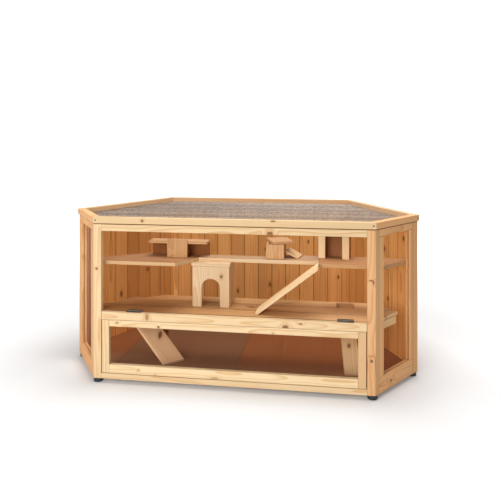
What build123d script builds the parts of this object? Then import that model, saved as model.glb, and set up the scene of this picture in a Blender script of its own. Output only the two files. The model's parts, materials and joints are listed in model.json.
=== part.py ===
from build123d import *
import math
import os

os.makedirs("parts", exist_ok=True)

# A six-sided pine hamster cage with a mesh lid and a glazed front flap.
# Millimetres. X runs to the right along the front, Y runs back from the front face, Z is up.

# Plan over the outer faces: an irregular hexagon, mirrored about X = 0
FRONT_WIDTH = 980.0
APEX_WIDTH = 1310.0
BACK_WIDTH = 840.0
APEX_DEPTH = 225.0
DEPTH = 710.0

# Heights, measured from the underside of the posts where nothing else is said
FOOT_HEIGHT = 16.0
BODY_HEIGHT = 549.5
MIDDLE_HEIGHT = 237.0
GALLERY_HEIGHT = 410.0

# Timber sections
STOCK = 20.0
FRONT_POST_FACE = 27.0
FRONT_POST_SIDE = 20.0
REAR_POST_LEG = 34.0
TOP_RAIL = 27.0
FRONT_SILL = 20.0
SIDE_SILL = 53.0
BACK_SILL = 53.0
FRONT_STILE = 30.0
APEX_STILE = 17.0
BOARD_SEAT = 12.0
BOARD_WIDTH = 66.0
BOARD_BEVEL = 1.6
ROOM_CLEAR = 1.0

# Glazing
PANE = 3.0
GROOVE = 8.0
PANE_END_GAP = 0.5
PANE_PLAY = 0.25
FRONT_PANE_LAP = 10.0
FRONT_PANE_LIFT = 2.2

# Feet and floor
FOOT_RADIUS = 17.0
FOOT_INSET = 18.5
FOOT_BEVEL = 2.0
BEARER_WIDTH = 40.0
BEARER_HEIGHT = 12.0
FLOOR_THICKNESS = 6.0
FLOOR_GAP = 0.5
FLOOR_SEAM_X = 445.0
END_BEARER_X = 575.0

# Flap in the lower front
FLAP_THICKNESS = 16.0
FLAP_SIDE_GAP = 3.0
HINGE_RAIL_END_GAP = 0.8
FLAP_FOOT_GAP = 1.0
HINGE_RAIL = 28.0
FLAP_TOP_RAIL = 23.0
FLAP_BOTTOM_RAIL = 31.0
FLAP_STILE = 26.5
STOP_GAP = 0.5
STOP_HEIGHT = 14.0
STOP_END_GAP = 5.0

# Butt hinges
KNUCKLE_RADIUS = 1.7
PIN_RADIUS = 0.95
PIN_CLEARANCE = 0.05
AXIS_RISE = 2.0
LEAF = 1.0
LEAF_LENGTH = 17.0
LEAF_SETBACK = 2.0
FLAP_LEAF_LENGTH = 13.0
HINGE_WIDTH = 56.0
KNUCKLE_GAP = 0.3
FLAP_HINGE_LEFT_INSET = 113.5
FLAP_HINGE_RIGHT_INSET = 67.5
LID_HINGE_INSET = 150.0

# Turn-button on the front right post
BUTTON_LONG_END = 43.0
BUTTON_SHORT_END = 14.0
BUTTON_WIDTH = 22.0
BUTTON_THICKNESS = 9.0
BUTTON_ROUND = 4.0
BUTTON_GAP = 0.4
BUTTON_HEIGHT = 118.0
SCREW_RADIUS = 2.0
SCREW_CLEARANCE = 0.05
SCREW_DEPTH = 14.0
SCREW_HEAD_RADIUS = 4.2
SCREW_HEAD = 2.0
SCREW_HEAD_GAP = 0.3

# Lid
LID_GAP = 0.5
LID_THICKNESS = 21.5
LID_RAIL = 27.0
LID_OVERHANG = 5.0
MESH_LAP = 8.0
MESH_POCKET = 3.5
MESH_SHEET = 1.2
MESH_EDGE_GAP = 0.5
MESH_PITCH = 52.0
MESH_BAR = 5.0
MESH_MARGIN = 4.0
LID_SCREW_RADIUS = 1.8
LID_SCREW_HEAD_RADIUS = 3.4
LID_SCREW_HEAD = 2.4
LID_SCREW_LENGTH = 25.0
LID_SCREW_RUN = 9.0

# Platform behind the hinge rail
PLATFORM_THICKNESS = 12.0
PLATFORM_DEPTH = 235.0
PLATFORM_BOARDS = 3
PLATFORM_BOARD_GAP = 0.5
PLATFORM_LEFT_TURN = 75.0
PLATFORM_LEFT_X = -305.0
PLATFORM_RIGHT_TURN = 153.0
PLATFORM_RIGHT_X = 472.0
PLATFORM_BEARER = 28.0
FRONT_BEARER_THICKNESS = 18.0
BACK_BEARER_THICKNESS = 12.0
SIDE_BEARER_THICKNESS = 12.0
LEG = 16.0
LEFT_LEG_X = -297.0
RIGHT_LEG_X = 462.0
HATCH_X = 394.0
HATCH_WIDTH = 64.0
HATCH_FRONT = 160.0
HATCH_BACK = 222.0

# Gallery
GALLERY_THICKNESS = 13.0
GALLERY_BACK = 225.0
GALLERY_MIDDLE_BACK = 190.0
GALLERY_LEFT_END = 80.0
GALLERY_LEFT_BACK_X = -345.0
GALLERY_BOX_X = 110.0
GALLERY_HOUSE_BACK = 242.0
GALLERY_HOUSE_X = 412.0
GALLERY_LEFT_FRONT = 35.0
GALLERY_LEFT_TURN_X = -202.0
GALLERY_LEFT_JOINT_X = -143.0
GALLERY_MIDDLE_FRONT = 130.0
GALLERY_RIGHT_JOINT_X = 300.0
GALLERY_RIGHT_FRONT = 88.0
CLEAT = 12.0
CLEAT_LENGTH = 21.0
CLEAT_SETBACK = 1.0
BATTEN_WIDTH = 26.0
BATTEN_HEIGHT = 10.0
BATTEN_SETBACK = 6.0

# Ramps
RAMP_THICKNESS = 9.0
BRIDGE_FOOT_X = 81.0
BRIDGE_FRONT = 42.0
BRIDGE_WIDTH = 76.0
RAMP_NOSE = 4.0
LEFT_RAMP_FOOT_X = -232.0
LEFT_RAMP_FOOT_Y = 126.0
LEFT_RAMP_RUN = 197.0
LEFT_RAMP_TURN = 167.4
LEFT_RAMP_WIDTH = 81.0
LEFT_RAMP_END_TURN = 44.0
RIGHT_RAMP_WIDTH = 56.0
RIGHT_RAMP_FOOT = 102.0
RIGHT_RAMP_DRIFT = 25.0
SMALL_RAMP_THICKNESS = 7.0
SMALL_RAMP_WIDTH = 62.0
SMALL_RAMP_RUN = 54.0
SMALL_RAMP_RISE = 29.0
SMALL_RAMP_SETBACK = 58.0
SMALL_RAMP_TURN = -11.7

# Houses
HOUSE_BOARD = 9.0
ARCH_HOUSE_X = -90.0
ARCH_HOUSE_WIDTH = 136.0
ARCH_HOUSE_FRONT = 104.0
ARCH_HOUSE_DEPTH = 112.0
ARCH_ROOF = 12.0
ARCH_ROOF_LIP = 4.0
ARCH_WIDTH = 68.0
ARCH_HEIGHT = 103.0
HUT_X = -221.0
HUT_FRONT = 120.0
HUT_WIDTH = 76.0
HUT_DEPTH = 64.0
HUT_HEIGHT = 66.0
HUT_ROOF_LEFT_X = -333.0
HUT_ROOF_RIGHT_X = -111.0
HUT_ROOF_DROP = 8.0
BOX_X = 140.0
BOX_FRONT = 143.0
BOX_WIDTH = 66.0
BOX_DEPTH = 70.0
BOX_HEIGHT = 54.0
BOX_ROOF_LENGTH = 80.0
BOX_ROOF_WIDTH = 92.0
BOX_ROOF_TURN = 21.0
BOX_ROOF_SHIFT = 12.0
BOX_ROOF_SETBACK = 54.0
CORNER_HOUSE_X = 296.0
CORNER_HOUSE_FRONT = 184.0
CORNER_HOUSE_TURN = -8.0
CORNER_HOUSE_WIDTH = 112.0
CORNER_HOUSE_DEPTH = 38.0
CORNER_HOUSE_HEIGHT = 106.0
CORNER_DOOR_WIDTH = 62.0
CORNER_DOOR_HEIGHT = 84.0
CORNER_ROOF_LIP = 4.0

# Levels that follow from the heights
BASE = FOOT_HEIGHT
TOP = BASE + BODY_HEIGHT
MIDDLE = BASE + MIDDLE_HEIGHT
GALLERY = BASE + GALLERY_HEIGHT
FLOOR = BASE + BEARER_HEIGHT + FLOOR_THICKNESS
LID_BASE = TOP + LID_GAP
LID_TOP = LID_BASE + LID_THICKNESS

# Edges of the hexagon, counted from the front; each starts at the corner with its own number
FRONT, RIGHT, BACK_RIGHT, BACK, BACK_LEFT, LEFT = range(6)
CORNERS = [
    (-FRONT_WIDTH / 2, 0.0),
    (FRONT_WIDTH / 2, 0.0),
    (APEX_WIDTH / 2, APEX_DEPTH),
    (BACK_WIDTH / 2, DEPTH),
    (-BACK_WIDTH / 2, DEPTH),
    (-APEX_WIDTH / 2, APEX_DEPTH),
]

# The part's own origin lies under the middle of its outline, between the pivot screws and the lid hinges
FRONT_REACH = BUTTON_GAP + BUTTON_THICKNESS + SCREW_HEAD_GAP + SCREW_HEAD
BACK_REACH = AXIS_RISE + KNUCKLE_RADIUS
Y_MIDDLE = (DEPTH + BACK_REACH - FRONT_REACH) / 2

nodes = {}


def edge_frame(edge):
    """Start, direction, inward normal and length of one edge of the plan."""
    x0, y0 = CORNERS[edge]
    x1, y1 = CORNERS[(edge + 1) % 6]
    length = math.hypot(x1 - x0, y1 - y0)
    ux, uy = (x1 - x0) / length, (y1 - y0) / length
    return (x0, y0), (ux, uy), (-uy, ux), length


def spot(edge, run, inset):
    """Plan point at a run along an edge and an inset from its outer face."""
    (x0, y0), (ux, uy), (nx, ny), _ = edge_frame(edge)
    return (x0 + run * ux + inset * nx, y0 + run * uy + inset * ny)


def inset_plan(insets):
    """Corners of the hexagon with each edge moved inwards by its own inset."""
    points = []
    for corner in range(6):
        before = (corner - 1) % 6
        (px, py), (qx, qy) = spot(before, 0, insets[before]), spot(corner, 0, insets[corner])
        ux, uy = edge_frame(before)[1]
        vx, vy = edge_frame(corner)[1]
        run = ((qx - px) * vy - (qy - py) * vx) / (ux * vy - uy * vx)
        points.append((px + run * ux, py + run * uy))
    return points


def slab(points, low, high):
    """Upright prism over a plan outline."""
    outline = make_face(Polyline(*points, close=True))
    return Pos(0, 0, low) * extrude(outline, amount=high - low, dir=(0, 0, 1))


def bar(edge, start, end, outer, inner, low, high):
    """Straight timber along an edge of the plan."""
    corners = [(start, outer), (end, outer), (end, inner), (start, inner)]
    return slab([spot(edge, run, inset) for run, inset in corners], low, high)


def block(x0, x1, y0, y1, z0, z1):
    """Box between two corners."""
    return Pos((x0 + x1) / 2, (y0 + y1) / 2, (z0 + z1) / 2) * Box(x1 - x0, y1 - y0, z1 - z0)


def rod_x(y, z, radius, x0, x1):
    """Cylinder along X."""
    return Pos((x0 + x1) / 2, y, z) * Rot(0, 90, 0) * Cylinder(radius, x1 - x0)


def rod_y(x, z, radius, y0, y1):
    """Cylinder along Y."""
    return Pos(x, (y0 + y1) / 2, z) * Rot(90, 0, 0) * Cylinder(radius, y1 - y0)


def left_twin(shape):
    """Mirror image on the left of a piece of the right side."""
    return mirror(shape, about=Plane.YZ)


def side_x(depth, inset):
    """X of the right side's line at an inset, at a depth behind the front face."""
    (x0, y0) = spot(RIGHT, 0, inset)
    ux, uy = edge_frame(RIGHT)[1]
    return x0 + (depth - y0) * ux / uy


def side_run(depth, inset):
    """Run along the right side's edge to a depth behind the front face, at an inset."""
    _, (_, uy), (_, ny), _ = edge_frame(RIGHT)
    return (depth - inset * ny) / uy


def add(name, *solids):
    """Keep one named piece, or one group of like pieces."""
    nodes[name] = list(solids)


INSIDE = inset_plan([STOCK] * 6)
ROOM = inset_plan([STOCK + FLOOR_GAP] * 6)


def corner_post(corner, leg_before, leg_after):
    """Post wrapped round a corner of the plan, with a leg along each of its two edges."""
    before = (corner - 1) % 6
    end = edge_frame(before)[3] - leg_before
    outline = [
        CORNERS[corner],
        spot(corner, leg_after, 0),
        spot(corner, leg_after, STOCK),
        INSIDE[corner],
        spot(before, end, STOCK),
        spot(before, end, 0),
    ]
    return slab(outline, BASE, TOP)


# Corner posts; the front right one is bored for the turn-button's pivot screw
button_x = FRONT_WIDTH / 2 - FRONT_POST_FACE / 2
button_z = BASE + BUTTON_HEIGHT
pivot_bore = rod_y(button_x, button_z, SCREW_RADIUS + SCREW_CLEARANCE, 0, SCREW_DEPTH + SCREW_CLEARANCE)
front_post = corner_post(RIGHT, FRONT_POST_FACE, FRONT_POST_SIDE)
apex_post = corner_post(BACK_RIGHT, REAR_POST_LEG, REAR_POST_LEG)
back_post = corner_post(BACK, REAR_POST_LEG, REAR_POST_LEG)
add("front_right_post", front_post - pivot_bore)
add("front_left_post", left_twin(front_post))
add("apex_posts", apex_post, left_twin(apex_post))
add("back_posts", back_post, left_twin(back_post))

# Front rails and the bead that the flap closes against
front_half = FRONT_WIDTH / 2 - FRONT_POST_FACE
rail_low = TOP - TOP_RAIL
sill_top = BASE + FRONT_SILL
add("front_top_rail", block(-front_half, front_half, 0, STOCK, rail_low, TOP))
add("front_bottom_rail", block(-front_half, front_half, 0, STOCK, BASE, sill_top))
stop_half = front_half - STOP_END_GAP
stop_front = FLAP_THICKNESS + STOP_GAP
add("flap_stop_bead", block(-stop_half, stop_half, stop_front, STOCK, sill_top, sill_top + STOP_HEIGHT))

# Glazed sides: stiles and rails grooved for a pane
side_end = edge_frame(RIGHT)[3] - REAR_POST_LEG
window_start = FRONT_POST_SIDE + FRONT_STILE
window_end = side_end - APEX_STILE
side_sill_top = BASE + SIDE_SILL
pane_outer = (STOCK - PANE) / 2
pane_lap = GROOVE - PANE_END_GAP
side_pane = bar(
    RIGHT,
    window_start - pane_lap,
    window_end + pane_lap,
    pane_outer,
    pane_outer + PANE,
    side_sill_top - pane_lap,
    rail_low + pane_lap,
)
side_groove = bar(
    RIGHT,
    window_start - GROOVE,
    window_end + GROOVE,
    pane_outer - PANE_PLAY,
    pane_outer + PANE + PANE_PLAY,
    side_sill_top - GROOVE,
    rail_low + GROOVE,
)
side_timbers = {
    "side_top_rails": (FRONT_POST_SIDE, side_end, rail_low, TOP),
    "side_bottom_rails": (FRONT_POST_SIDE, side_end, BASE, side_sill_top),
    "front_stiles": (FRONT_POST_SIDE, window_start, side_sill_top, rail_low),
    "apex_stiles": (window_end, side_end, side_sill_top, rail_low),
}
right_timbers = {}
for name, (start, end, low, high) in side_timbers.items():
    right_timbers[name] = bar(RIGHT, start, end, 0, STOCK, low, high) - side_groove
for name in ("side_top_rails", "side_bottom_rails"):
    add(name, right_timbers[name], left_twin(right_timbers[name]))
stiles = [right_timbers["front_stiles"], right_timbers["apex_stiles"]]
add("side_stiles", *stiles, *[left_twin(stile) for stile in stiles])
add("side_panes", side_pane, left_twin(side_pane))


def wall_boards(edge):
    """Upright boards of one back wall, with their inner edges bevelled to show the joints."""
    start = REAR_POST_LEG
    length = edge_frame(edge)[3] - 2 * REAR_POST_LEG
    count = max(1, round(length / BOARD_WIDTH))
    width = length / count
    boards = []
    for place in range(count):
        first, last = start + place * width, start + (place + 1) * width
        outline = [
            (first, BOARD_SEAT),
            (last, BOARD_SEAT),
            (last, STOCK - BOARD_BEVEL),
            (last - BOARD_BEVEL, STOCK),
            (first + BOARD_BEVEL, STOCK),
            (first, STOCK - BOARD_BEVEL),
        ]
        boards.append(slab([spot(edge, run, inset) for run, inset in outline], BASE, TOP))
    return boards


# Back walls: rails outside, boards behind them
BACK_EDGES = {"back_right": BACK_RIGHT, "back": BACK, "back_left": BACK_LEFT}
back_top_rails = []
back_bottom_rails = []
for name, edge in BACK_EDGES.items():
    end = edge_frame(edge)[3] - REAR_POST_LEG
    back_top_rails.append(bar(edge, REAR_POST_LEG, end, 0, BOARD_SEAT, rail_low, TOP))
    back_bottom_rails.append(bar(edge, REAR_POST_LEG, end, 0, BOARD_SEAT, BASE, BASE + BACK_SILL))
    add(name + "_wall_boards", *wall_boards(edge))
add("back_top_rails", *back_top_rails)
add("back_bottom_rails", *back_bottom_rails)

# Fixed upper pane, on the back of the front posts and the top rail
pane_half = front_half + FRONT_PANE_LAP
pane_low = MIDDLE + FRONT_PANE_LIFT
pane_high = rail_low + FRONT_PANE_LAP
add("front_pane", block(-pane_half, pane_half, STOCK, STOCK + PANE, pane_low, pane_high))

# Feet under the six corners
foot = Cylinder(FOOT_RADIUS, FOOT_HEIGHT, align=(Align.CENTER, Align.CENTER, Align.MIN))
foot = chamfer(foot.edges().group_by(Axis.Z)[0], FOOT_BEVEL)
add("corner_feet", *[Pos(x, y, 0) * foot for x, y in inset_plan([FOOT_INSET] * 6)])

# Floor panels with seams over the bearers
floor_low = BASE + BEARER_HEIGHT
floor_plate = slab(ROOM, floor_low, FLOOR)
bearer_plate = slab(ROOM, BASE, floor_low)
seams = [-APEX_WIDTH / 2, -FLOOR_SEAM_X, 0.0, FLOOR_SEAM_X, APEX_WIDTH / 2]
panels = []
for left, right in zip(seams, seams[1:]):
    strip = block(left + FLOOR_GAP / 2, right - FLOOR_GAP / 2, 0, DEPTH, floor_low, FLOOR)
    panels.append(floor_plate & strip)
add("floor_panels", *panels)
bearers = []
for x in (-END_BEARER_X, -FLOOR_SEAM_X, 0.0, FLOOR_SEAM_X, END_BEARER_X):
    strip = block(x - BEARER_WIDTH / 2, x + BEARER_WIDTH / 2, 0, DEPTH, BASE, floor_low)
    bearers.append(bearer_plate & strip)
add("floor_bearers", *bearers)

# Flap: a hinge rail over a grooved frame with its own pane
flap_half = front_half - FLAP_SIDE_GAP
flap_low = sill_top + FLAP_FOOT_GAP
frame_top = MIDDLE - HINGE_RAIL
glass_high = frame_top - FLAP_TOP_RAIL
glass_low = flap_low + FLAP_BOTTOM_RAIL
glass_half = flap_half - FLAP_STILE
flap_pane_front = (FLAP_THICKNESS - PANE) / 2
flap_pane = block(
    -glass_half - pane_lap,
    glass_half + pane_lap,
    flap_pane_front,
    flap_pane_front + PANE,
    glass_low - pane_lap,
    glass_high + pane_lap,
)
flap_groove = block(
    -glass_half - GROOVE,
    glass_half + GROOVE,
    flap_pane_front - PANE_PLAY,
    flap_pane_front + PANE + PANE_PLAY,
    glass_low - GROOVE,
    glass_high + GROOVE,
)
flap_stile = block(glass_half, flap_half, 0, FLAP_THICKNESS, flap_low, frame_top) - flap_groove
hinge_half = front_half - HINGE_RAIL_END_GAP
add("flap_hinge_rail", block(-hinge_half, hinge_half, 0, FLAP_THICKNESS, frame_top, MIDDLE))
add("flap_top_rail", block(-glass_half, glass_half, 0, FLAP_THICKNESS, glass_high, frame_top) - flap_groove)
add("flap_bottom_rail", block(-glass_half, glass_half, 0, FLAP_THICKNESS, flap_low, glass_low) - flap_groove)
add("flap_stiles", flap_stile, left_twin(flap_stile))
add("flap_pane", flap_pane)


def hinge_leaf(knuckles, side, length):
    """One leaf of a butt hinge: axis along X through the origin, plate below it, towards side on Y."""
    far = side * (LEAF_SETBACK + length)
    near = side * LEAF_SETBACK
    half = HINGE_WIDTH / 2
    leaf = block(-half, half, min(near, far), max(near, far), -AXIS_RISE, LEAF - AXIS_RISE)
    for x0, x1 in knuckles:
        leaf += rod_x(0, 0, KNUCKLE_RADIUS, x0, x1)
        leaf += block(x0, x1, min(0, near), max(0, near), -KNUCKLE_RADIUS, LEAF - AXIS_RISE)
    return leaf - rod_x(0, 0, PIN_RADIUS + PIN_CLEARANCE, -half, half)


third = HINGE_WIDTH / 6
outer_knuckles = [(-HINGE_WIDTH / 2, -third - KNUCKLE_GAP), (third + KNUCKLE_GAP, HINGE_WIDTH / 2)]
middle_knuckle = [(-third, third)]
hinge_pin = rod_x(0, 0, PIN_RADIUS, -HINGE_WIDTH / 2, HINGE_WIDTH / 2)
fixed_leaf = hinge_leaf(outer_knuckles, 1, LEAF_LENGTH)

# Flap hinges lie flat: fixed leaves on the platform, moving leaves on the hinge rail
flap_axis_y = STOCK - LEAF_SETBACK
flap_hinges = (FLAP_HINGE_LEFT_INSET - flap_half, flap_half - FLAP_HINGE_RIGHT_INSET)
flap_places = [Pos(x, flap_axis_y, MIDDLE + AXIS_RISE) for x in flap_hinges]
flap_leaf = hinge_leaf(middle_knuckle, -1, FLAP_LEAF_LENGTH)
add("flap_hinge_fixed_leaves", *[place * fixed_leaf for place in flap_places])
add("flap_hinge_leaves", *[place * flap_leaf for place in flap_places])

# Lid hinges stand on the back face: fixed leaves on the back rail, moving leaves on the lid
lid_axis_z = TOP + LID_GAP / 2
lid_hinge_x = BACK_WIDTH / 2 - LID_HINGE_INSET
lid_places = [Pos(x, DEPTH + AXIS_RISE, lid_axis_z) * Rot(-90, 0, 0) for x in (-lid_hinge_x, lid_hinge_x)]
lid_leaf = hinge_leaf(middle_knuckle, -1, LEAF_LENGTH)
add("lid_hinge_fixed_leaves", *[place * fixed_leaf for place in lid_places])
add("lid_hinge_leaves", *[place * lid_leaf for place in lid_places])
add("hinge_pins", *[place * hinge_pin for place in flap_places + lid_places])

# Turn-button: hangs from its pivot screw, clear of the flap, and swings up across its stile
button_outline = Rectangle(BUTTON_WIDTH, BUTTON_LONG_END + BUTTON_SHORT_END)
button_outline = Pos(0, (BUTTON_SHORT_END - BUTTON_LONG_END) / 2) * button_outline
button_outline = fillet(button_outline.vertices(), BUTTON_ROUND)
button_outline -= Circle(SCREW_RADIUS + SCREW_CLEARANCE)
button_plane = Plane(origin=(button_x, -BUTTON_GAP, button_z), x_dir=(1, 0, 0), z_dir=(0, -1, 0))
button = extrude(button_plane * button_outline, amount=BUTTON_THICKNESS)
head_back = -BUTTON_GAP - BUTTON_THICKNESS - SCREW_HEAD_GAP
pivot_screw = rod_y(button_x, button_z, SCREW_RADIUS, head_back, SCREW_DEPTH)
pivot_screw += rod_y(button_x, button_z, SCREW_HEAD_RADIUS, head_back - SCREW_HEAD, head_back)
add("turn_button", button)
add("button_screw", pivot_screw)

# Lid: six mitred rails with a pocket for the mesh, flush with the body at the back
overhangs = [LID_OVERHANG] * 6
overhangs[BACK] = 0.0


def lid_plan(inset):
    """Plan of the lid at an inset from its outer faces."""
    return inset_plan([inset - overhang for overhang in overhangs])


lid_outer = lid_plan(0)
lid_inner = lid_plan(LID_RAIL)
mesh_pocket = slab(lid_plan(LID_RAIL - MESH_LAP), LID_BASE - LID_GAP, LID_BASE + MESH_POCKET)
screw_z = LID_BASE + LID_THICKNESS / 2


def lid_screw(edge, at_end, extra):
    """Screw through one end of a lid rail and its mitre, grown all round by extra for its bore."""
    ux, uy = edge_frame(edge)[1]
    nx, ny = edge_frame(edge)[2]
    corner = lid_outer[(edge + at_end) % 6]
    run = -LID_SCREW_RUN if at_end else LID_SCREW_RUN
    x, y = corner[0] + run * ux, corner[1] + run * uy
    face = Plane(origin=(x, y, screw_z), x_dir=(0, 0, 1), z_dir=(nx, ny, 0))
    head = extrude(face * Circle(LID_SCREW_HEAD_RADIUS + extra), amount=LID_SCREW_HEAD + extra)
    shank = extrude(face * Circle(LID_SCREW_RADIUS + extra), amount=LID_SCREW_LENGTH + extra)
    return head + shank


# One screw per mitre: from both ends of the front and back rails, and from the sides at the apexes
SCREWED_ENDS = [(FRONT, 0), (FRONT, 1), (RIGHT, 1), (BACK, 0), (BACK, 1), (LEFT, 0)]
lid_screws = [lid_screw(edge, at_end, 0) for edge, at_end in SCREWED_ENDS]
screw_bores = [lid_screw(edge, at_end, SCREW_CLEARANCE) for edge, at_end in SCREWED_ENDS]
lid_rails = []
for edge in range(6):
    after = (edge + 1) % 6
    rail = slab([lid_outer[edge], lid_outer[after], lid_inner[after], lid_inner[edge]], LID_BASE, LID_TOP)
    rail -= mesh_pocket
    for bore in screw_bores:
        rail -= bore
    lid_rails.append(rail)
add("lid_front_rail", lid_rails[FRONT])
add("lid_back_rail", lid_rails[BACK])
add("lid_side_rails", lid_rails[RIGHT], lid_rails[LEFT])
add("lid_rear_side_rails", lid_rails[BACK_RIGHT], lid_rails[BACK_LEFT])
add("lid_screws", *lid_screws)


def within(point, outline):
    """Whether a point lies inside a convex outline that turns to the left."""
    for start, end in zip(outline, outline[1:] + outline[:1]):
        turn = (end[0] - start[0]) * (point[1] - start[1]) - (end[1] - start[1]) * (point[0] - start[0])
        if turn < 0:
            return False
    return True


# Mesh as one holed sheet in the pocket
mesh_outline = lid_plan(LID_RAIL - MESH_LAP + MESH_EDGE_GAP)
mesh_clear = lid_plan(LID_RAIL + MESH_MARGIN)
hole = (MESH_PITCH - MESH_BAR) / 2
columns = math.ceil(APEX_WIDTH / MESH_PITCH / 2)
rows = math.ceil(DEPTH / MESH_PITCH)
mesh_top = LID_BASE + MESH_POCKET
mesh_holes = []
for column in range(-columns, columns + 1):
    for row in range(rows + 1):
        x, y = column * MESH_PITCH, row * MESH_PITCH
        square = [(x - hole, y - hole), (x + hole, y - hole), (x + hole, y + hole), (x - hole, y + hole)]
        if all(within(point, mesh_clear) for point in square):
            mesh_holes.append(Wire.make_polygon([(px, py, 0) for px, py in square], close=True))
mesh_wire = Wire.make_polygon([(px, py, 0) for px, py in mesh_outline], close=True)
mesh_sheet = extrude(Face(mesh_wire, mesh_holes), amount=MESH_SHEET, dir=(0, 0, 1))
add("lid_mesh", Pos(0, 0, mesh_top - MESH_SHEET) * mesh_sheet)

# Platform: boards along X on bearers at the front, back and sides, open at its slanted left end and at a hatch on the right
room_inset = STOCK + ROOM_CLEAR
platform_low = MIDDLE - PLATFORM_THICKNESS
platform_plan = [
    (-side_x(STOCK, room_inset), STOCK),
    (side_x(STOCK, room_inset), STOCK),
    (side_x(PLATFORM_RIGHT_TURN, room_inset), PLATFORM_RIGHT_TURN),
    (PLATFORM_RIGHT_X, PLATFORM_DEPTH),
    (PLATFORM_LEFT_X, PLATFORM_DEPTH),
    (-side_x(PLATFORM_LEFT_TURN, room_inset), PLATFORM_LEFT_TURN),
]
hatch_left = HATCH_X - HATCH_WIDTH / 2
hatch_right = HATCH_X + HATCH_WIDTH / 2
platform = slab(platform_plan, platform_low, MIDDLE)
platform -= block(hatch_left, hatch_right, HATCH_FRONT, HATCH_BACK, platform_low, MIDDLE)
board_depth = (PLATFORM_DEPTH - STOCK) / PLATFORM_BOARDS
platform_boards = []
for place in range(PLATFORM_BOARDS):
    start = STOCK + place * board_depth
    end = start + board_depth
    if place < PLATFORM_BOARDS - 1:
        end -= PLATFORM_BOARD_GAP
    platform_boards.append(platform & block(-APEX_WIDTH, APEX_WIDTH, start, end, platform_low, MIDDLE))
add("platform_boards", *platform_boards)
bearer_low = platform_low - PLATFORM_BEARER
bearer_half = side_x(STOCK, room_inset)
back_bearer_front = PLATFORM_DEPTH - BACK_BEARER_THICKNESS
side_bearer_inner = room_inset + SIDE_BEARER_THICKNESS
side_bearer_start = side_run(STOCK + FRONT_BEARER_THICKNESS + ROOM_CLEAR, room_inset)
side_bearers = [
    bar(
        RIGHT,
        side_bearer_start,
        side_run(turn_depth - ROOM_CLEAR, side_bearer_inner),
        room_inset,
        side_bearer_inner,
        bearer_low,
        platform_low,
    )
    for turn_depth in (PLATFORM_LEFT_TURN, PLATFORM_RIGHT_TURN)
]
add(
    "platform_bearers",
    block(-bearer_half, bearer_half, STOCK, STOCK + FRONT_BEARER_THICKNESS, bearer_low, platform_low),
    block(PLATFORM_LEFT_X, PLATFORM_RIGHT_X, back_bearer_front, PLATFORM_DEPTH, bearer_low, platform_low),
    left_twin(side_bearers[0]),
    side_bearers[1],
)
legs = [
    block(x - LEG / 2, x + LEG / 2, PLATFORM_DEPTH - LEG, PLATFORM_DEPTH, FLOOR, bearer_low)
    for x in (LEFT_LEG_X, RIGHT_LEG_X)
]
add("platform_legs", *legs)

# Gallery: three shelves on cleats at the sides, on the arched house and on a batten under a joint
gallery_low = GALLERY - GALLERY_THICKNESS
gallery_left = [
    (-side_x(GALLERY_LEFT_FRONT, room_inset), GALLERY_LEFT_FRONT),
    (GALLERY_LEFT_TURN_X, GALLERY_LEFT_FRONT),
    (GALLERY_LEFT_JOINT_X, GALLERY_MIDDLE_FRONT),
    (GALLERY_LEFT_JOINT_X, GALLERY_MIDDLE_BACK),
    (GALLERY_LEFT_BACK_X, GALLERY_MIDDLE_BACK),
    (-side_x(GALLERY_LEFT_END, room_inset), GALLERY_LEFT_END),
]
gallery_back = [
    (GALLERY_LEFT_JOINT_X, GALLERY_MIDDLE_FRONT),
    (GALLERY_RIGHT_JOINT_X, GALLERY_MIDDLE_FRONT),
    (GALLERY_RIGHT_JOINT_X, GALLERY_BACK),
    (GALLERY_BOX_X, GALLERY_BACK),
    (GALLERY_BOX_X, GALLERY_MIDDLE_BACK),
    (GALLERY_LEFT_JOINT_X, GALLERY_MIDDLE_BACK),
]
gallery_right = [
    (GALLERY_RIGHT_JOINT_X, GALLERY_RIGHT_FRONT),
    (side_x(GALLERY_RIGHT_FRONT, room_inset), GALLERY_RIGHT_FRONT),
    (side_x(GALLERY_BACK, room_inset), GALLERY_BACK),
    (GALLERY_HOUSE_X, GALLERY_BACK),
    (GALLERY_HOUSE_X, GALLERY_HOUSE_BACK),
    (GALLERY_RIGHT_JOINT_X, GALLERY_HOUSE_BACK),
]
room = slab(ROOM, gallery_low, GALLERY)
add("gallery_left", slab(gallery_left, gallery_low, GALLERY) & room)
add("gallery_back", slab(gallery_back, gallery_low, GALLERY))
add("gallery_right", slab(gallery_right, gallery_low, GALLERY) & room)
apex_cleat_start = window_end + CLEAT_SETBACK
front_cleat_end = window_start - CLEAT_SETBACK
cleat_runs = {
    "apex": (apex_cleat_start, apex_cleat_start + CLEAT_LENGTH),
    "front": (front_cleat_end - CLEAT_LENGTH, front_cleat_end),
}
cleats = {
    name: bar(RIGHT, start, end, STOCK, STOCK + CLEAT, gallery_low - CLEAT, gallery_low)
    for name, (start, end) in cleat_runs.items()
}
batten = block(
    GALLERY_RIGHT_JOINT_X - BATTEN_WIDTH / 2,
    GALLERY_RIGHT_JOINT_X + BATTEN_WIDTH / 2,
    GALLERY_MIDDLE_FRONT + BATTEN_SETBACK,
    GALLERY_BACK - BATTEN_SETBACK,
    gallery_low - BATTEN_HEIGHT,
    gallery_low,
)
add("gallery_cleats", cleats["apex"], left_twin(cleats["front"]), batten)


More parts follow.
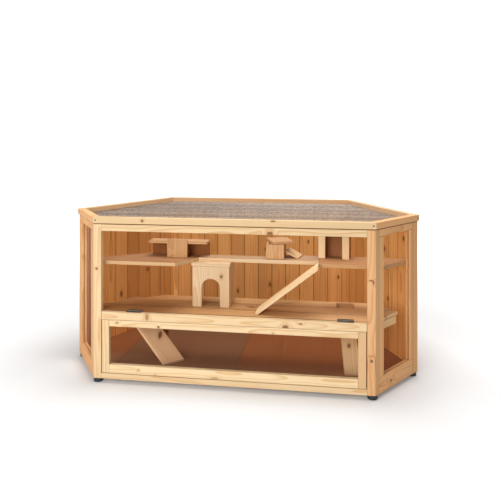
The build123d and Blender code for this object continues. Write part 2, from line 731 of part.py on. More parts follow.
def ramp(foot, top, width, thickness, end_turn=None):
    """Plank between two points of its upper face, cut level under its nose and plumb at both ends.

    The ends lie square to the run, or at end_turn degrees from X in plan.
    """
    run = math.hypot(top[0] - foot[0], top[1] - foot[1])
    ux, uy = (top[0] - foot[0]) / run, (top[1] - foot[1]) / run
    nose = foot[2] + RAMP_NOSE
    pitch = (top[2] - nose) / run
    depth = thickness * math.hypot(1, pitch)
    outline = [
        (0, foot[2]),
        ((depth - RAMP_NOSE) / pitch, foot[2]),
        (run, top[2] - depth),
        (run, top[2]),
        (0, nose),
    ]
    across = (-uy, ux)
    if end_turn is not None:
        across = (math.cos(math.radians(end_turn)), math.sin(math.radians(end_turn)))
    start = (foot[0] - across[0] * width / 2, foot[1] - across[1] * width / 2, 0)
    plane = Plane(origin=start, x_dir=(ux, uy, 0), z_dir=(uy, -ux, 0))
    return extrude(plane * make_face(Polyline(*outline, close=True)), amount=width, dir=(*across, 0))


# Ramps: platform to gallery, and floor to platform at both ends
bridge_y = BRIDGE_FRONT + BRIDGE_WIDTH / 2
bridge_foot = (BRIDGE_FOOT_X, bridge_y, MIDDLE)
bridge_top = (GALLERY_RIGHT_JOINT_X, bridge_y, GALLERY)
add("bridge_ramp", ramp(bridge_foot, bridge_top, BRIDGE_WIDTH, RAMP_THICKNESS))
turn = math.radians(LEFT_RAMP_TURN)
left_foot = (LEFT_RAMP_FOOT_X, LEFT_RAMP_FOOT_Y, FLOOR)
left_top = (
    LEFT_RAMP_FOOT_X + LEFT_RAMP_RUN * math.cos(turn),
    LEFT_RAMP_FOOT_Y + LEFT_RAMP_RUN * math.sin(turn),
    MIDDLE,
)
left_ramp = ramp(left_foot, left_top, LEFT_RAMP_WIDTH, RAMP_THICKNESS, LEFT_RAMP_END_TURN)
add("lower_left_ramp", left_ramp - slab(platform_plan, platform_low, MIDDLE))
right_foot = (HATCH_X + RIGHT_RAMP_DRIFT, RIGHT_RAMP_FOOT, FLOOR)
right_top = (HATCH_X, HATCH_BACK, MIDDLE)
add("lower_right_ramp", ramp(right_foot, right_top, RIGHT_RAMP_WIDTH, RAMP_THICKNESS, 0))

# Arched house on the platform; its roof carries the joint of the gallery
house_left = ARCH_HOUSE_X - ARCH_HOUSE_WIDTH / 2
house_right = ARCH_HOUSE_X + ARCH_HOUSE_WIDTH / 2
house_back = ARCH_HOUSE_FRONT + ARCH_HOUSE_DEPTH
eaves = gallery_low - ARCH_ROOF
front_inner = ARCH_HOUSE_FRONT + HOUSE_BOARD
spring = MIDDLE + ARCH_HEIGHT - ARCH_WIDTH / 2
arch_front = block(house_left, house_right, ARCH_HOUSE_FRONT, front_inner, MIDDLE, eaves)
arch_front -= block(
    ARCH_HOUSE_X - ARCH_WIDTH / 2,
    ARCH_HOUSE_X + ARCH_WIDTH / 2,
    ARCH_HOUSE_FRONT,
    front_inner,
    MIDDLE,
    spring,
)
arch_front -= rod_y(ARCH_HOUSE_X, spring, ARCH_WIDTH / 2, ARCH_HOUSE_FRONT, front_inner)
add("arch_house_front", arch_front)
add(
    "arch_house_sides",
    block(house_left, house_left + HOUSE_BOARD, front_inner, house_back, MIDDLE, eaves),
    block(house_right - HOUSE_BOARD, house_right, front_inner, house_back, MIDDLE, eaves),
)
add(
    "arch_house_roof",
    block(
        house_left - ARCH_ROOF_LIP,
        house_right + ARCH_ROOF_LIP,
        ARCH_HOUSE_FRONT - ARCH_ROOF_LIP,
        house_back + ARCH_ROOF_LIP,
        eaves,
        gallery_low,
    ),
)

# Left hut on the gallery: a raised front board, two sides, and a long back board and roof plate behind it
hut_left = HUT_X - HUT_WIDTH / 2
hut_right = HUT_X + HUT_WIDTH / 2
hut_back = HUT_FRONT + HUT_DEPTH
hut_inner = HUT_FRONT + HOUSE_BOARD
hut_roof_top = GALLERY + HUT_HEIGHT - HUT_ROOF_DROP
hut_roof_low = hut_roof_top - HOUSE_BOARD
hut_rear = hut_back - HOUSE_BOARD
add(
    "hut_walls",
    block(hut_left, hut_right, HUT_FRONT, hut_inner, GALLERY, GALLERY + HUT_HEIGHT),
    block(hut_left, hut_left + HOUSE_BOARD, hut_inner, hut_rear, GALLERY, hut_roof_low),
    block(hut_right - HOUSE_BOARD, hut_right, hut_inner, hut_rear, GALLERY, hut_roof_low),
    block(HUT_ROOF_LEFT_X, HUT_ROOF_RIGHT_X, hut_rear, hut_back, GALLERY, hut_roof_low),
)
add("hut_roof", block(HUT_ROOF_LEFT_X, HUT_ROOF_RIGHT_X, hut_inner, hut_back, hut_roof_low, hut_roof_top))

# Box house on the gallery with a turned roof plate, and a small ramp that leans on its right wall
box_left = BOX_X - BOX_WIDTH / 2
box_right = BOX_X + BOX_WIDTH / 2
box_inner = BOX_FRONT + HOUSE_BOARD
box_back = BOX_FRONT + BOX_DEPTH
box_top = GALLERY + BOX_HEIGHT
add(
    "box_house_walls",
    block(box_left, box_right, BOX_FRONT, box_inner, GALLERY, box_top),
    block(box_left, box_left + HOUSE_BOARD, box_inner, box_back, GALLERY, box_top),
    block(box_right - HOUSE_BOARD, box_right, box_inner, box_back, GALLERY, box_top),
)
roof_plate = Box(BOX_ROOF_LENGTH, BOX_ROOF_WIDTH, HOUSE_BOARD)
roof_centre = (BOX_X + BOX_ROOF_SHIFT, BOX_FRONT + BOX_ROOF_SETBACK, box_top + HOUSE_BOARD / 2)
add("box_house_roof", Pos(*roof_centre) * Rot(0, 0, BOX_ROOF_TURN) * roof_plate)
small_turn = math.radians(SMALL_RAMP_TURN)
small_top = (
    box_right + SMALL_RAMP_WIDTH / 2 * abs(math.sin(small_turn)),
    BOX_FRONT + SMALL_RAMP_SETBACK,
    GALLERY + SMALL_RAMP_RISE,
)
small_foot = (
    small_top[0] + SMALL_RAMP_RUN * math.cos(small_turn),
    small_top[1] + SMALL_RAMP_RUN * math.sin(small_turn),
    GALLERY,
)
add("small_ramp", ramp(small_foot, small_top, SMALL_RAMP_WIDTH, SMALL_RAMP_THICKNESS))

# Corner house: turned front board with a doorway, two sides, a back board and a roof plate
corner_place = Pos(CORNER_HOUSE_X, CORNER_HOUSE_FRONT, GALLERY) * Rot(0, 0, CORNER_HOUSE_TURN)
door_start = (CORNER_HOUSE_WIDTH - CORNER_DOOR_WIDTH) / 2
corner_back = HOUSE_BOARD + CORNER_HOUSE_DEPTH
corner_front = block(0, CORNER_HOUSE_WIDTH, 0, HOUSE_BOARD, 0, CORNER_HOUSE_HEIGHT)
corner_front -= block(door_start, door_start + CORNER_DOOR_WIDTH, 0, HOUSE_BOARD, 0, CORNER_DOOR_HEIGHT)
corner_left = block(0, HOUSE_BOARD, HOUSE_BOARD, corner_back, 0, CORNER_HOUSE_HEIGHT)
corner_right = Pos(CORNER_HOUSE_WIDTH - HOUSE_BOARD, 0, 0) * corner_left
corner_rear = corner_back + HOUSE_BOARD
corner_board = block(0, CORNER_HOUSE_WIDTH, corner_back, corner_rear, 0, CORNER_HOUSE_HEIGHT)
corner_roof = block(
    -CORNER_ROOF_LIP,
    CORNER_HOUSE_WIDTH + CORNER_ROOF_LIP,
    -CORNER_ROOF_LIP,
    corner_rear + CORNER_ROOF_LIP,
    CORNER_HOUSE_HEIGHT,
    CORNER_HOUSE_HEIGHT + HOUSE_BOARD,
)
add("corner_house_front", corner_place * corner_front)
corner_walls = [corner_place * wall for wall in (corner_left, corner_right, corner_board)]
add("corner_house_walls", *corner_walls)
add("corner_house_roof", corner_place * corner_roof)

# Write each node with the origin under the middle of the cage
for name, pieces in nodes.items():
    solids = [solid for piece in pieces for solid in piece.solids()]
    export_step(Pos(0, -Y_MIDDLE, 0) * Compound(children=solids), f"parts/{name}.step")
print("nodes", len(nodes), "mesh gaps", len(mesh_holes), "Y middle", round(Y_MIDDLE, 2))
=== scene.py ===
"""Looks of a six-sided pine hamster cage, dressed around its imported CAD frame.

Every timber piece is a copy of its CAD solid with eased edges, and each board carries its own
grain direction, ring centre and tone. The lid gets real wire mesh. Lengths are in metres.
"""

import json
import logging
import math
import random
from dataclasses import dataclass, field, replace
from enum import Enum, IntEnum
from functools import partial
from typing import Any, Iterable, Sequence

import bmesh
import bpy
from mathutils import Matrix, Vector
from mathutils.bvhtree import BVHTree
from mathutils.geometry import convex_hull_2d

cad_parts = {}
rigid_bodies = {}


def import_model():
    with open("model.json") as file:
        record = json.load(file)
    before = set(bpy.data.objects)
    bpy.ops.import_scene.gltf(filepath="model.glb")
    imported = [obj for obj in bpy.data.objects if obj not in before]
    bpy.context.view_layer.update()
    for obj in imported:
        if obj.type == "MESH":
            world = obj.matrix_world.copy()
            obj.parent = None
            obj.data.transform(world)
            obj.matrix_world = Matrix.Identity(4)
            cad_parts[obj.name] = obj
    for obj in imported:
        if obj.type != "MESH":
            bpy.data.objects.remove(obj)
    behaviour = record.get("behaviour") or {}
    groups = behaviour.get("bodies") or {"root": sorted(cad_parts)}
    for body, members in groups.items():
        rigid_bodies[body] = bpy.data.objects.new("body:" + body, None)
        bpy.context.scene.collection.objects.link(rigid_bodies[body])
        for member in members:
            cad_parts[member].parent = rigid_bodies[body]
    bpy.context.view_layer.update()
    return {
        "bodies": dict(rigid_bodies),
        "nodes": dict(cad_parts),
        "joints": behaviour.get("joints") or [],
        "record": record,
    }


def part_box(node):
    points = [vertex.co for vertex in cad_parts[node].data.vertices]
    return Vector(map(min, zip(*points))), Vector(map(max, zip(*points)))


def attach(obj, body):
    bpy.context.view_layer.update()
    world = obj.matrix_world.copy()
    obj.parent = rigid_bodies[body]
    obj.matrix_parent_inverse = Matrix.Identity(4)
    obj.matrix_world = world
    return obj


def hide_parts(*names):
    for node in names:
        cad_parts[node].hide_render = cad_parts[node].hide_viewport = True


LOG = logging.getLogger("hamster_cage")
Colour = tuple[float, float, float]
Point = tuple[float, float, float]
Pair = tuple[float, float]
Socket = bpy.types.NodeSocket
Material = bpy.types.Material
Mesh = bpy.types.Mesh
Solid = bmesh.types.BMesh


class Slot(Enum):
    """Material slots of the record."""

    PINE = "pine"
    WALL = "wall_boards"
    SHELF = "shelf_pine"
    FLOOR = "floor_ply"
    WIRE = "mesh_wire"


class Body(Enum):
    """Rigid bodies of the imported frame."""

    FRAME = "frame"
    LID = "lid"
    FLAP = "flap"
    BUTTON = "turn_button"


class Axis(IntEnum):
    """Axes of the row frame."""

    X = 0
    Y = 1
    Z = 2


class Grain(Enum):
    """How the grain of a board is laid: along its longest edge, or in a given direction."""

    LENGTH = None
    ALONG_X = (1, 0, 0)
    ALONG_Y = (0, 1, 0)
    UPRIGHT = (0, 0, 1)


class NodeSheet:
    """Short hand for adding and linking shader nodes in one tree."""

    MIX_FIRST = 6
    MIX_SECOND = 7
    MIX_RESULT = 2
    NOISE_MEAN = 0.5

    def __init__(self, tree: bpy.types.NodeTree) -> None:
        """Keep the tree that nodes are added to."""
        self.tree = tree

    def add(self, kind: str, *values: Any, **settings: Any) -> bpy.types.Node:
        """Add a node, set its properties and feed its first inputs.

        Args:
            kind: Node class name without the ShaderNode prefix, or a full name.
            values: Its first inputs in order, sockets or plain values.
            settings: Properties to set on the node.

        Returns:
            The new node.
        """
        full = kind if kind.startswith("Node") else "ShaderNode" + kind
        node = self.tree.nodes.new(full)
        for name, value in settings.items():
            setattr(node, name, value)
        for socket, value in zip(node.inputs, values):
            self.feed(socket, value)
        return node

    def feed(self, socket: Socket, value: Any) -> None:
        """Link a socket to another, or set its value.

        Args:
            socket: Input socket.
            value: Output socket to link, or a plain value.
        """
        if isinstance(value, Socket):
            self.tree.links.new(value, socket)
            return
        if socket.type == "RGBA" and len(value) == 3:
            value = (*value, 1.0)
        socket.default_value = value

    def wire(self, node: bpy.types.Node, **values: Any) -> None:
        """Feed a node's inputs by name, with underscores for spaces."""
        for name, value in values.items():
            self.feed(node.inputs[name.replace("_", " ")], value)

    def math(self, operation: str, *values: Any, clamp: bool = False) -> Socket:
        """Give the result of a Math node, kept from 0 to 1 with clamp."""
        return self.add("Math", *values, operation=operation, use_clamp=clamp).outputs[0]

    def times(self, first: Any, second: Any) -> Socket:
        """Multiply two numbers."""
        return self.math("MULTIPLY", first, second)

    def plus(self, base: Any, value: Any, factor: Any, clamp: bool = False) -> Socket:
        """Add a number times a factor to a base."""
        return self.math("MULTIPLY_ADD", value, factor, base, clamp=clamp)

    def vector(self, operation: str, *values: Any) -> Socket:
        """Give the result of a Vector Math node, a number for lengths."""
        node = self.add("VectorMath", *values, operation=operation)
        return node.outputs[1 if operation == "LENGTH" else 0]

    def split(self, vector: Socket) -> list[Socket]:
        """Split a vector into its three numbers."""
        return list(self.add("SeparateXYZ", vector).outputs)

    def ramp(self, value: Any, low: Any, high: Any, start: float = 0.0, end: float = 1.0) -> Socket:
        """Map a number smoothly, so that low gives start and high gives end."""
        node = self.add("MapRange", value, low, high, start, end, interpolation_type="SMOOTHSTEP")
        return node.outputs[0]

    def noise(self, vector: Any, scale: Any, detail: float = 2.0, rough: float = 0.5) -> Socket:
        """Add a Noise Texture on a stretched vector.

        Args:
            vector: Coordinates.
            scale: Stretch along each axis.
            detail: Noise octaves.
            rough: Share of the fine octaves.

        Returns:
            The noise value's socket, about 0.5 on average.
        """
        node = self.add("TexNoise")
        stretched = self.vector("MULTIPLY", vector, scale)
        self.wire(node, Vector=stretched, Scale=1.0, Detail=detail, Roughness=rough)
        return node.outputs[0]

    def about_zero(self, noise: Socket) -> Socket:
        """Shift a noise so that it swings about zero."""
        return self.math("SUBTRACT", noise, self.NOISE_MEAN)

    def blend(self, factor: Any, first: Any, second: Any, kind: str = "MIX") -> Socket:
        """Mix two colours.

        Args:
            factor: Share of the second colour.
            first: First colour.
            second: Second colour.
            kind: Blend type.

        Returns:
            The mixed colour's socket.
        """
        node = self.add("Mix", factor, data_type="RGBA", blend_type=kind)
        self.feed(node.inputs[self.MIX_FIRST], first)
        self.feed(node.inputs[self.MIX_SECOND], second)
        return node.outputs[self.MIX_RESULT]


class EffectGroup:
    """A shader node group with named inputs and outputs, built once."""

    title = ""
    takes: dict[str, str] = {}
    gives: dict[str, str] = {}

    def __init__(self) -> None:
        """Make the group's sockets and its nodes."""
        self.tree = bpy.data.node_groups.new(self.title, "ShaderNodeTree")
        for way, sockets in (("INPUT", self.takes), ("OUTPUT", self.gives)):
            for name, kind in sockets.items():
                self.tree.interface.new_socket(name, in_out=way, socket_type="NodeSocket" + kind)
        sheet = NodeSheet(self.tree)
        inlet = sheet.add("NodeGroupInput")
        outlet = sheet.add("NodeGroupOutput")
        sheet.wire(outlet, **self.draw(sheet, inlet.outputs))

    def draw(self, sheet: NodeSheet, source: Any) -> dict[str, Socket]:
        """Add the group's nodes and return its outputs by name."""
        raise NotImplementedError

    def place(self, sheet: NodeSheet, **values: Any) -> Any:
        """Place the group in a material.

        Args:
            sheet: The material's nodes.
            values: Inputs by name, with underscores for spaces.

        Returns:
            The placed node's outputs.
        """
        node = sheet.add("Group", node_tree=self.tree)
        sheet.wire(node, **values)
        return node.outputs


class SetKnot(EffectGroup):
    """A knot at a given place of a board."""

    title = "set_knot"
    takes = {"Position": "Vector", "Centre": "Vector", "Stretch": "Vector", "Radius": "Float"}
    gives = {"Knot": "Float", "Halo": "Float"}

    GRIT = (260, 260, 260)
    RAGGED = 0.9
    CORE_RIM = (1.2, 0.75)
    HALO_RIM = (3.2, 0.8)

    def draw(self, sheet: NodeSheet, source: Any) -> dict[str, Socket]:
        """Add the nodes of a round knot with a soft halo.

        Args:
            sheet: The group's nodes.
            source: The group's inputs.

        Returns:
            The group's outputs by name.
        """
        away = sheet.vector("SUBTRACT", source["Position"], source["Centre"])
        rough = sheet.about_zero(sheet.noise(away, self.GRIT))
        reach = sheet.vector("LENGTH", sheet.vector("DIVIDE", away, source["Stretch"]))
        share = sheet.plus(sheet.math("DIVIDE", reach, source["Radius"]), rough, self.RAGGED)
        return {"Knot": sheet.ramp(share, *self.CORE_RIM), "Halo": sheet.ramp(share, *self.HALO_RIM)}


class BoardGrain(EffectGroup):
    """Rings, streaks, knots and fibres of a softwood board."""

    title = "board_grain"
    takes = {
        "Grain": "Vector",
        "Tone": "Float",
        "Tone Share": "Float",
        "Pale": "Color",
        "Late": "Color",
        "Heart": "Color",
        "Ring Pitch": "Float",
        "Knot Share": "Float",
        "Figure": "Float",
        "Set Knot": "Float",
        "Set Halo": "Float",
    }
    gives = {"Colour": "Color", "Height": "Float", "Polish": "Float"}

    # Scattered knots: cells per metre, outline, sizes and colours
    CELL = Vector((6.5, 15.0, 4.0))
    CELL_SCATTER = 0.85
    KNOT_OUTLINE = (0.7, 1.0, 0.12)
    LEAST_RADIUS = 0.0016
    RADIUS_SPREAD = 0.0048
    CORE_RIM = (1.15, 0.8)
    HALO_RIM = (3.6, 0.8)
    KNOT_DARK = (0.13, 0.05, 0.018)
    KNOT_BROWN = (0.27, 0.12, 0.045)
    KNOT_RINGS = 5200.0
    WHORL_MEAN = 0.5
    WHORL = 0.3
    KNOT_COVER = 0.88

    # Waves of the figure, per metre along, across and through the board
    SWAY_WAVE = (1.6, 5.0, 5.0)
    SWELL_WAVE = (2.7, 7.0, 7.0)
    STREAK_WAVE = (0.9, 42.0, 42.0)
    STREAK_DETAIL = (3.0, 0.6)
    FIBRE_WAVE = (26.0, 820.0, 820.0)
    CLOUD_WAVE = (2.0, 9.0, 9.0)

    # How far the rings wander, lean along the board and bend round a knot
    SWAY = 0.022
    SWELL = 0.016
    LEAN = 0.006
    BEND = 0.0042
    LATE_POWER = 2.6
    RING_END = (1.0, 0.93)

    # Shares of each effect in colour, height and polish
    STREAK = 0.9
    FIBRE = 0.22
    CLOUD = 0.28
    HALO = 0.34
    WARM_START = -0.06
    FIBRE_HEIGHT = 0.65
    LATE_HEIGHT = 0.35
    KNOT_HEIGHT = -0.4
    POLISH = 0.5
    CLOUD_POLISH = 0.16
    LATE_POLISH = -0.08

    def knots(self, sheet: NodeSheet, source: Any) -> tuple[Socket, Socket, Socket]:
        """Scatter small knots over the board.

        Args:
            sheet: The group's nodes.
            source: The group's inputs.

        Returns:
            The knot mask, its halo and the distance to the knot's heart.
        """
        places = sheet.vector("MULTIPLY", source["Grain"], self.CELL)
        cells = sheet.add("TexVoronoi", feature="F1")
        sheet.wire(cells, Vector=places, Scale=1.0, Randomness=self.CELL_SCATTER)
        offset = sheet.vector("SUBTRACT", places, cells.outputs["Position"])
        away = sheet.vector("DIVIDE", offset, self.CELL)
        reach = sheet.vector("LENGTH", sheet.vector("MULTIPLY", away, self.KNOT_OUTLINE))
        draws = sheet.add("SeparateColor", cells.outputs["Color"]).outputs
        radius = sheet.plus(self.LEAST_RADIUS, sheet.math("POWER", draws[0], 2.0), self.RADIUS_SPREAD)
        there = sheet.math("LESS_THAN", draws[1], source["Knot Share"])
        share = sheet.math("DIVIDE", reach, radius)
        knot = sheet.times(sheet.ramp(share, *self.CORE_RIM), there)
        halo = sheet.times(sheet.ramp(share, *self.HALO_RIM), there)
        knot = sheet.math("MAXIMUM", knot, source["Set Knot"])
        halo = sheet.math("MAXIMUM", halo, source["Set Halo"])
        return knot, halo, reach

    def draw(self, sheet: NodeSheet, source: Any) -> dict[str, Socket]:
        """Add the nodes of the board's figure.

        Args:
            sheet: The group's nodes.
            source: The group's inputs.

        Returns:
            The group's outputs by name.
        """
        grain = source["Grain"]
        knot, halo, reach = self.knots(sheet, source)
        along, across, depth = sheet.split(grain)
        across = sheet.plus(across, sheet.about_zero(sheet.noise(grain, self.SWAY_WAVE)), self.SWAY)
        depth = sheet.plus(depth, sheet.about_zero(sheet.noise(grain, self.SWELL_WAVE)), self.SWELL)
        radius = sheet.vector("LENGTH", sheet.add("CombineXYZ", across, depth).outputs[0])
        radius = sheet.plus(radius, along, self.LEAN)
        radius = sheet.plus(radius, halo, self.BEND)
        turn = sheet.math("FRACT", sheet.math("DIVIDE", radius, source["Ring Pitch"]))
        late = sheet.times(sheet.math("POWER", turn, self.LATE_POWER), sheet.ramp(turn, *self.RING_END))
        streak = sheet.noise(grain, self.STREAK_WAVE, *self.STREAK_DETAIL)
        fibre = sheet.noise(grain, self.FIBRE_WAVE)
        cloud = sheet.noise(grain, self.CLOUD_WAVE)
        amount = sheet.plus(late, sheet.about_zero(streak), self.STREAK)
        amount = sheet.plus(amount, sheet.about_zero(fibre), self.FIBRE)
        amount = sheet.math("MULTIPLY", amount, source["Figure"], clamp=True)
        colour = sheet.blend(amount, source["Pale"], source["Late"])
        warm = sheet.times(source["Tone"], source["Tone Share"])
        warm = sheet.plus(warm, cloud, self.CLOUD)
        warm = sheet.plus(warm, halo, self.HALO)
        warm = sheet.math("ADD", warm, self.WARM_START, clamp=True)
        colour = sheet.blend(warm, colour, source["Heart"])
        whorl = sheet.math("SINE", sheet.times(reach, self.KNOT_RINGS))
        core = sheet.blend(sheet.plus(self.WHORL_MEAN, whorl, self.WHORL), self.KNOT_DARK, self.KNOT_BROWN)
        colour = sheet.blend(sheet.times(knot, self.KNOT_COVER), colour, core)
        height = sheet.plus(sheet.times(fibre, self.FIBRE_HEIGHT), late, self.LATE_HEIGHT)
        height = sheet.plus(height, knot, self.KNOT_HEIGHT)
        polish = sheet.plus(self.POLISH, cloud, self.CLOUD_POLISH)
        polish = sheet.plus(polish, late, self.LATE_POLISH)
        return {"Colour": colour, "Height": height, "Polish": polish}


class Handling(EffectGroup):
    """Faint smudges, dust and scuffs, uneven over a surface."""

    title = "handling"
    takes = {"Position": "Vector", "Size": "Float", "Strength": "Float"}
    gives = {"Smudge": "Float", "Scuff": "Float"}

    SMUDGE_NOISE = ((1, 1, 1), 4.0, 0.6)
    SMUDGE_RANGE = (0.42, 0.72)
    SCUFF_NOISE = ((14, 3, 9), 3.0, 0.65)
    SCUFF_RANGE = (0.58, 0.75)

    def draw(self, sheet: NodeSheet, source: Any) -> dict[str, Socket]:
        """Add the nodes of wide smudges and thin scuffs.

        Args:
            sheet: The group's nodes.
            source: The group's inputs.

        Returns:
            The group's outputs by name.
        """
        scaled = sheet.add("VectorMath", source["Position"], operation="SCALE")
        sheet.wire(scaled, Scale=source["Size"])
        place = scaled.outputs[0]
        wide = sheet.ramp(sheet.noise(place, *self.SMUDGE_NOISE), *self.SMUDGE_RANGE)
        thin = sheet.ramp(sheet.noise(place, *self.SCUFF_NOISE), *self.SCUFF_RANGE)
        strength = source["Strength"]
        return {"Smudge": sheet.times(wide, strength), "Scuff": sheet.times(thin, strength)}


class Groups:
    """The shared effects, built once and used by every finish."""

    def __init__(self) -> None:
        """Build the groups."""
        self.knot = SetKnot()
        self.grain = BoardGrain()
        self.handling = Handling()


@dataclass(frozen=True)
class Finish:
    """A named material with its Principled shader."""

    name: str

    def start(self) -> tuple[Material, NodeSheet, bpy.types.Node, Socket]:
        """Make an empty material with a Principled shader.

        Returns:
            The material, its nodes, the shader and the place on the object.
        """
        material = bpy.data.materials.new(self.name)
        material.use_nodes = True
        material.node_tree.nodes.clear()
        sheet = NodeSheet(material.node_tree)
        shader = sheet.add("BsdfPrincipled")
        sheet.add("OutputMaterial", shader.outputs[0])
        return material, sheet, shader, sheet.add("TexCoord").outputs["Object"]

    def bump(self, sheet: NodeSheet, height: Socket, distance: float, strength: float = 0.5) -> Socket:
        """Turn a height into a normal.

        Args:
            sheet: The material's nodes.
            height: Height socket.
            distance: Height of a full step.
            strength: Share of the effect.

        Returns:
            The normal's socket.
        """
        node = sheet.add("Bump")
        sheet.wire(node, Height=height, Distance=distance, Strength=strength)
        return node.outputs[0]

    def make(self, groups: Groups) -> Material:
        """Build the material from the shared effects."""
        raise NotImplementedError


@dataclass(frozen=True)
class Knot:
    """A knot that the board shows at a known place.

    Attributes:
        centre: Place in the row frame.
        radius: Radius of the dark core.
        stretch: Length along each axis for a radius of one.
        depth: How dark it is.
    """

    centre: Point
    radius: float
    stretch: Point
    depth: float = 1.0


FRONT_FACE = -0.351
LID_FACE = -0.356
ARCH_FACE = -0.247
BACK_FACE = 0.339
INTO_FACE = 3.0


def face_knot(
    face: float, x: float, z: float, radius: float, wide: float = 1.0, tall: float = 1.0, depth: float = 1.0
) -> Knot:
    """Set a knot on a face that looks along Y."""
    return Knot((x, face, z), radius, (wide, INTO_FACE, tall), depth)


front_knot = partial(face_knot, FRONT_FACE)


@dataclass(frozen=True)
class Patch:
    """A stretch of another colour, used for real tone and for painted light and shade.

    Attributes:
        axis: Axis that the stretch is measured along.
        first: Its start.
        last: Its end.
        colour: Its colour.
        share: How far it covers the wood's own colour.
        soft: Length over which it fades in and out.
    """

    axis: Axis
    first: float
    last: float
    colour: Colour
    share: float
    soft: float = 0.0004


# Dark colour of joints between boards, also used for painted contact shadow at joints and under the lid
JOINT_SHADE = (0.09, 0.035, 0.012)
# Painted shade that darkens upward faces, as if less light fell on them
PAINTED_TOP_SHADE = (0.56, 0.42, 0.36)


@dataclass(frozen=True)
class PineFinish(Finish):
    """Oiled or bare pine with its figure.

    Attributes:
        pale: Colour of the early wood.
        late: Colour of the late wood.
        heart: Colour of the warm clouds.
        pitch: Width of a ring.
        knot_share: Share of the cells with a scattered knot.
        figure: Strength of the rings and streaks.
        joint: Shade along both long edges of a board.
        tone_share: How far boards differ in tone.
        shut: Darkening of eased edges that lie against another board, partly a dark joint and partly
            painted contact shadow.
        patches: Stretches of another colour.
        tread: Strength of the painted shade that darkens the upper faces.
        knots: Knots at known places.
    """

    pale: Colour
    late: Colour
    heart: Colour
    pitch: float = 0.0034
    knot_share: float = 0.22
    figure: float = 0.85
    joint: float = 0.0
    tone_share: float = 0.16
    shut: float = 0.75
    patches: tuple[Patch, ...] = ()
    tread: float = 0.0
    knots: tuple[Knot, ...] = ()

    # Ranges of the upward normal, the eased attribute and the place across a board
    UPWARD = (0.6, 0.9)
    FREE_EDGE = (0.0, 0.5)
    SHUT_EDGE = (0.6, 0.9)
    SEAM = (0.93, 1.0)
    # Shares of smudges, worn edges and scuffs
    SMUDGE = 0.16
    WORN = 0.22
    SCUFF = 0.12
    MARKS = {"Size": 9.0, "Strength": 0.5}
    RELIEF = 0.0004
    SPECULAR = 0.1

    def kind(self, name: str, *knots: Knot, **changes: Any) -> "PineFinish":
        """Copy this finish under a new name, with its own knots and other changes."""
        return replace(self, name=name, knots=knots, **changes)

    def shade(self, sheet: NodeSheet, place: Socket, colour: Socket) -> Socket:
        """Lay the patches and the painted shade of the upper faces over the wood.

        Args:
            sheet: The material's nodes.
            place: Place on the object.
            colour: Colour of the wood.

        Returns:
            The shaded colour.
        """
        for patch in self.patches:
            along = sheet.split(place)[patch.axis]
            begun = sheet.ramp(along, patch.first, patch.first + patch.soft)
            ended = sheet.ramp(along, patch.last - patch.soft, patch.last, 1.0, 0.0)
            cover = sheet.times(sheet.times(begun, ended), patch.share)
            colour = sheet.blend(cover, colour, patch.colour)
        # Painted shade: the upper faces are darkened
        if self.tread:
            upward = sheet.split(sheet.add("NewGeometry").outputs["Normal"])[Axis.Z]
            top_shaded = sheet.ramp(upward, *self.UPWARD, 0.0, self.tread)
            colour = sheet.blend(top_shaded, colour, PAINTED_TOP_SHADE, "MULTIPLY")
        return colour

    def make(self, groups: Groups) -> Material:
        """Build the material.

        Args:
            groups: Shared effects.

        Returns:
            The material.
        """
        material, sheet, shader, place = self.start()
        grain = sheet.add("Attribute", attribute_name="grain").outputs["Vector"]
        tone = sheet.add("Attribute", attribute_name="tone").outputs["Fac"]
        edge = sheet.add("Attribute", attribute_name="eased").outputs["Fac"]
        knot: Any = 0.0
        halo: Any = 0.0
        for entry in self.knots:
            mark = groups.knot.place(
                sheet, Position=place, Centre=entry.centre, Radius=entry.radius, Stretch=entry.stretch
            )
            knot = sheet.math("MAXIMUM", sheet.times(mark["Knot"], entry.depth), knot)
            halo = sheet.math("MAXIMUM", mark["Halo"], halo)
        figure = groups.grain.place(
            sheet,
            Grain=grain,
            Tone=tone,
            Tone_Share=self.tone_share,
            Pale=self.pale,
            Late=self.late,
            Heart=self.heart,
            Ring_Pitch=self.pitch,
            Knot_Share=self.knot_share,
            Figure=self.figure,
            Set_Knot=knot,
            Set_Halo=halo,
        )
        wear = groups.handling.place(sheet, Position=place, **self.MARKS)
        colour = self.shade(sheet, place, figure["Colour"])
        colour = sheet.blend(sheet.times(wear["Smudge"], self.SMUDGE), colour, self.heart)
        colour = sheet.blend(sheet.ramp(edge, *self.FREE_EDGE, 0.0, self.WORN), colour, self.late)
        # Eased edges against another board: dark joint with painted contact shadow
        colour = sheet.blend(sheet.ramp(edge, *self.SHUT_EDGE, 0.0, self.shut), colour, JOINT_SHADE)
        if self.joint:
            spread = sheet.add("Attribute", attribute_name="spread").outputs["Fac"]
            seam = sheet.ramp(sheet.math("ABSOLUTE", spread), *self.SEAM, 0.0, self.joint)
            colour = sheet.blend(seam, colour, JOINT_SHADE)
        polish = sheet.plus(figure["Polish"], wear["Scuff"], self.SCUFF)
        normal = self.bump(sheet, figure["Height"], self.RELIEF)
        sheet.wire(shader, Base_Color=colour, Roughness=polish, Normal=normal)
        shader.inputs["Specular IOR Level"].default_value = self.SPECULAR
        return material


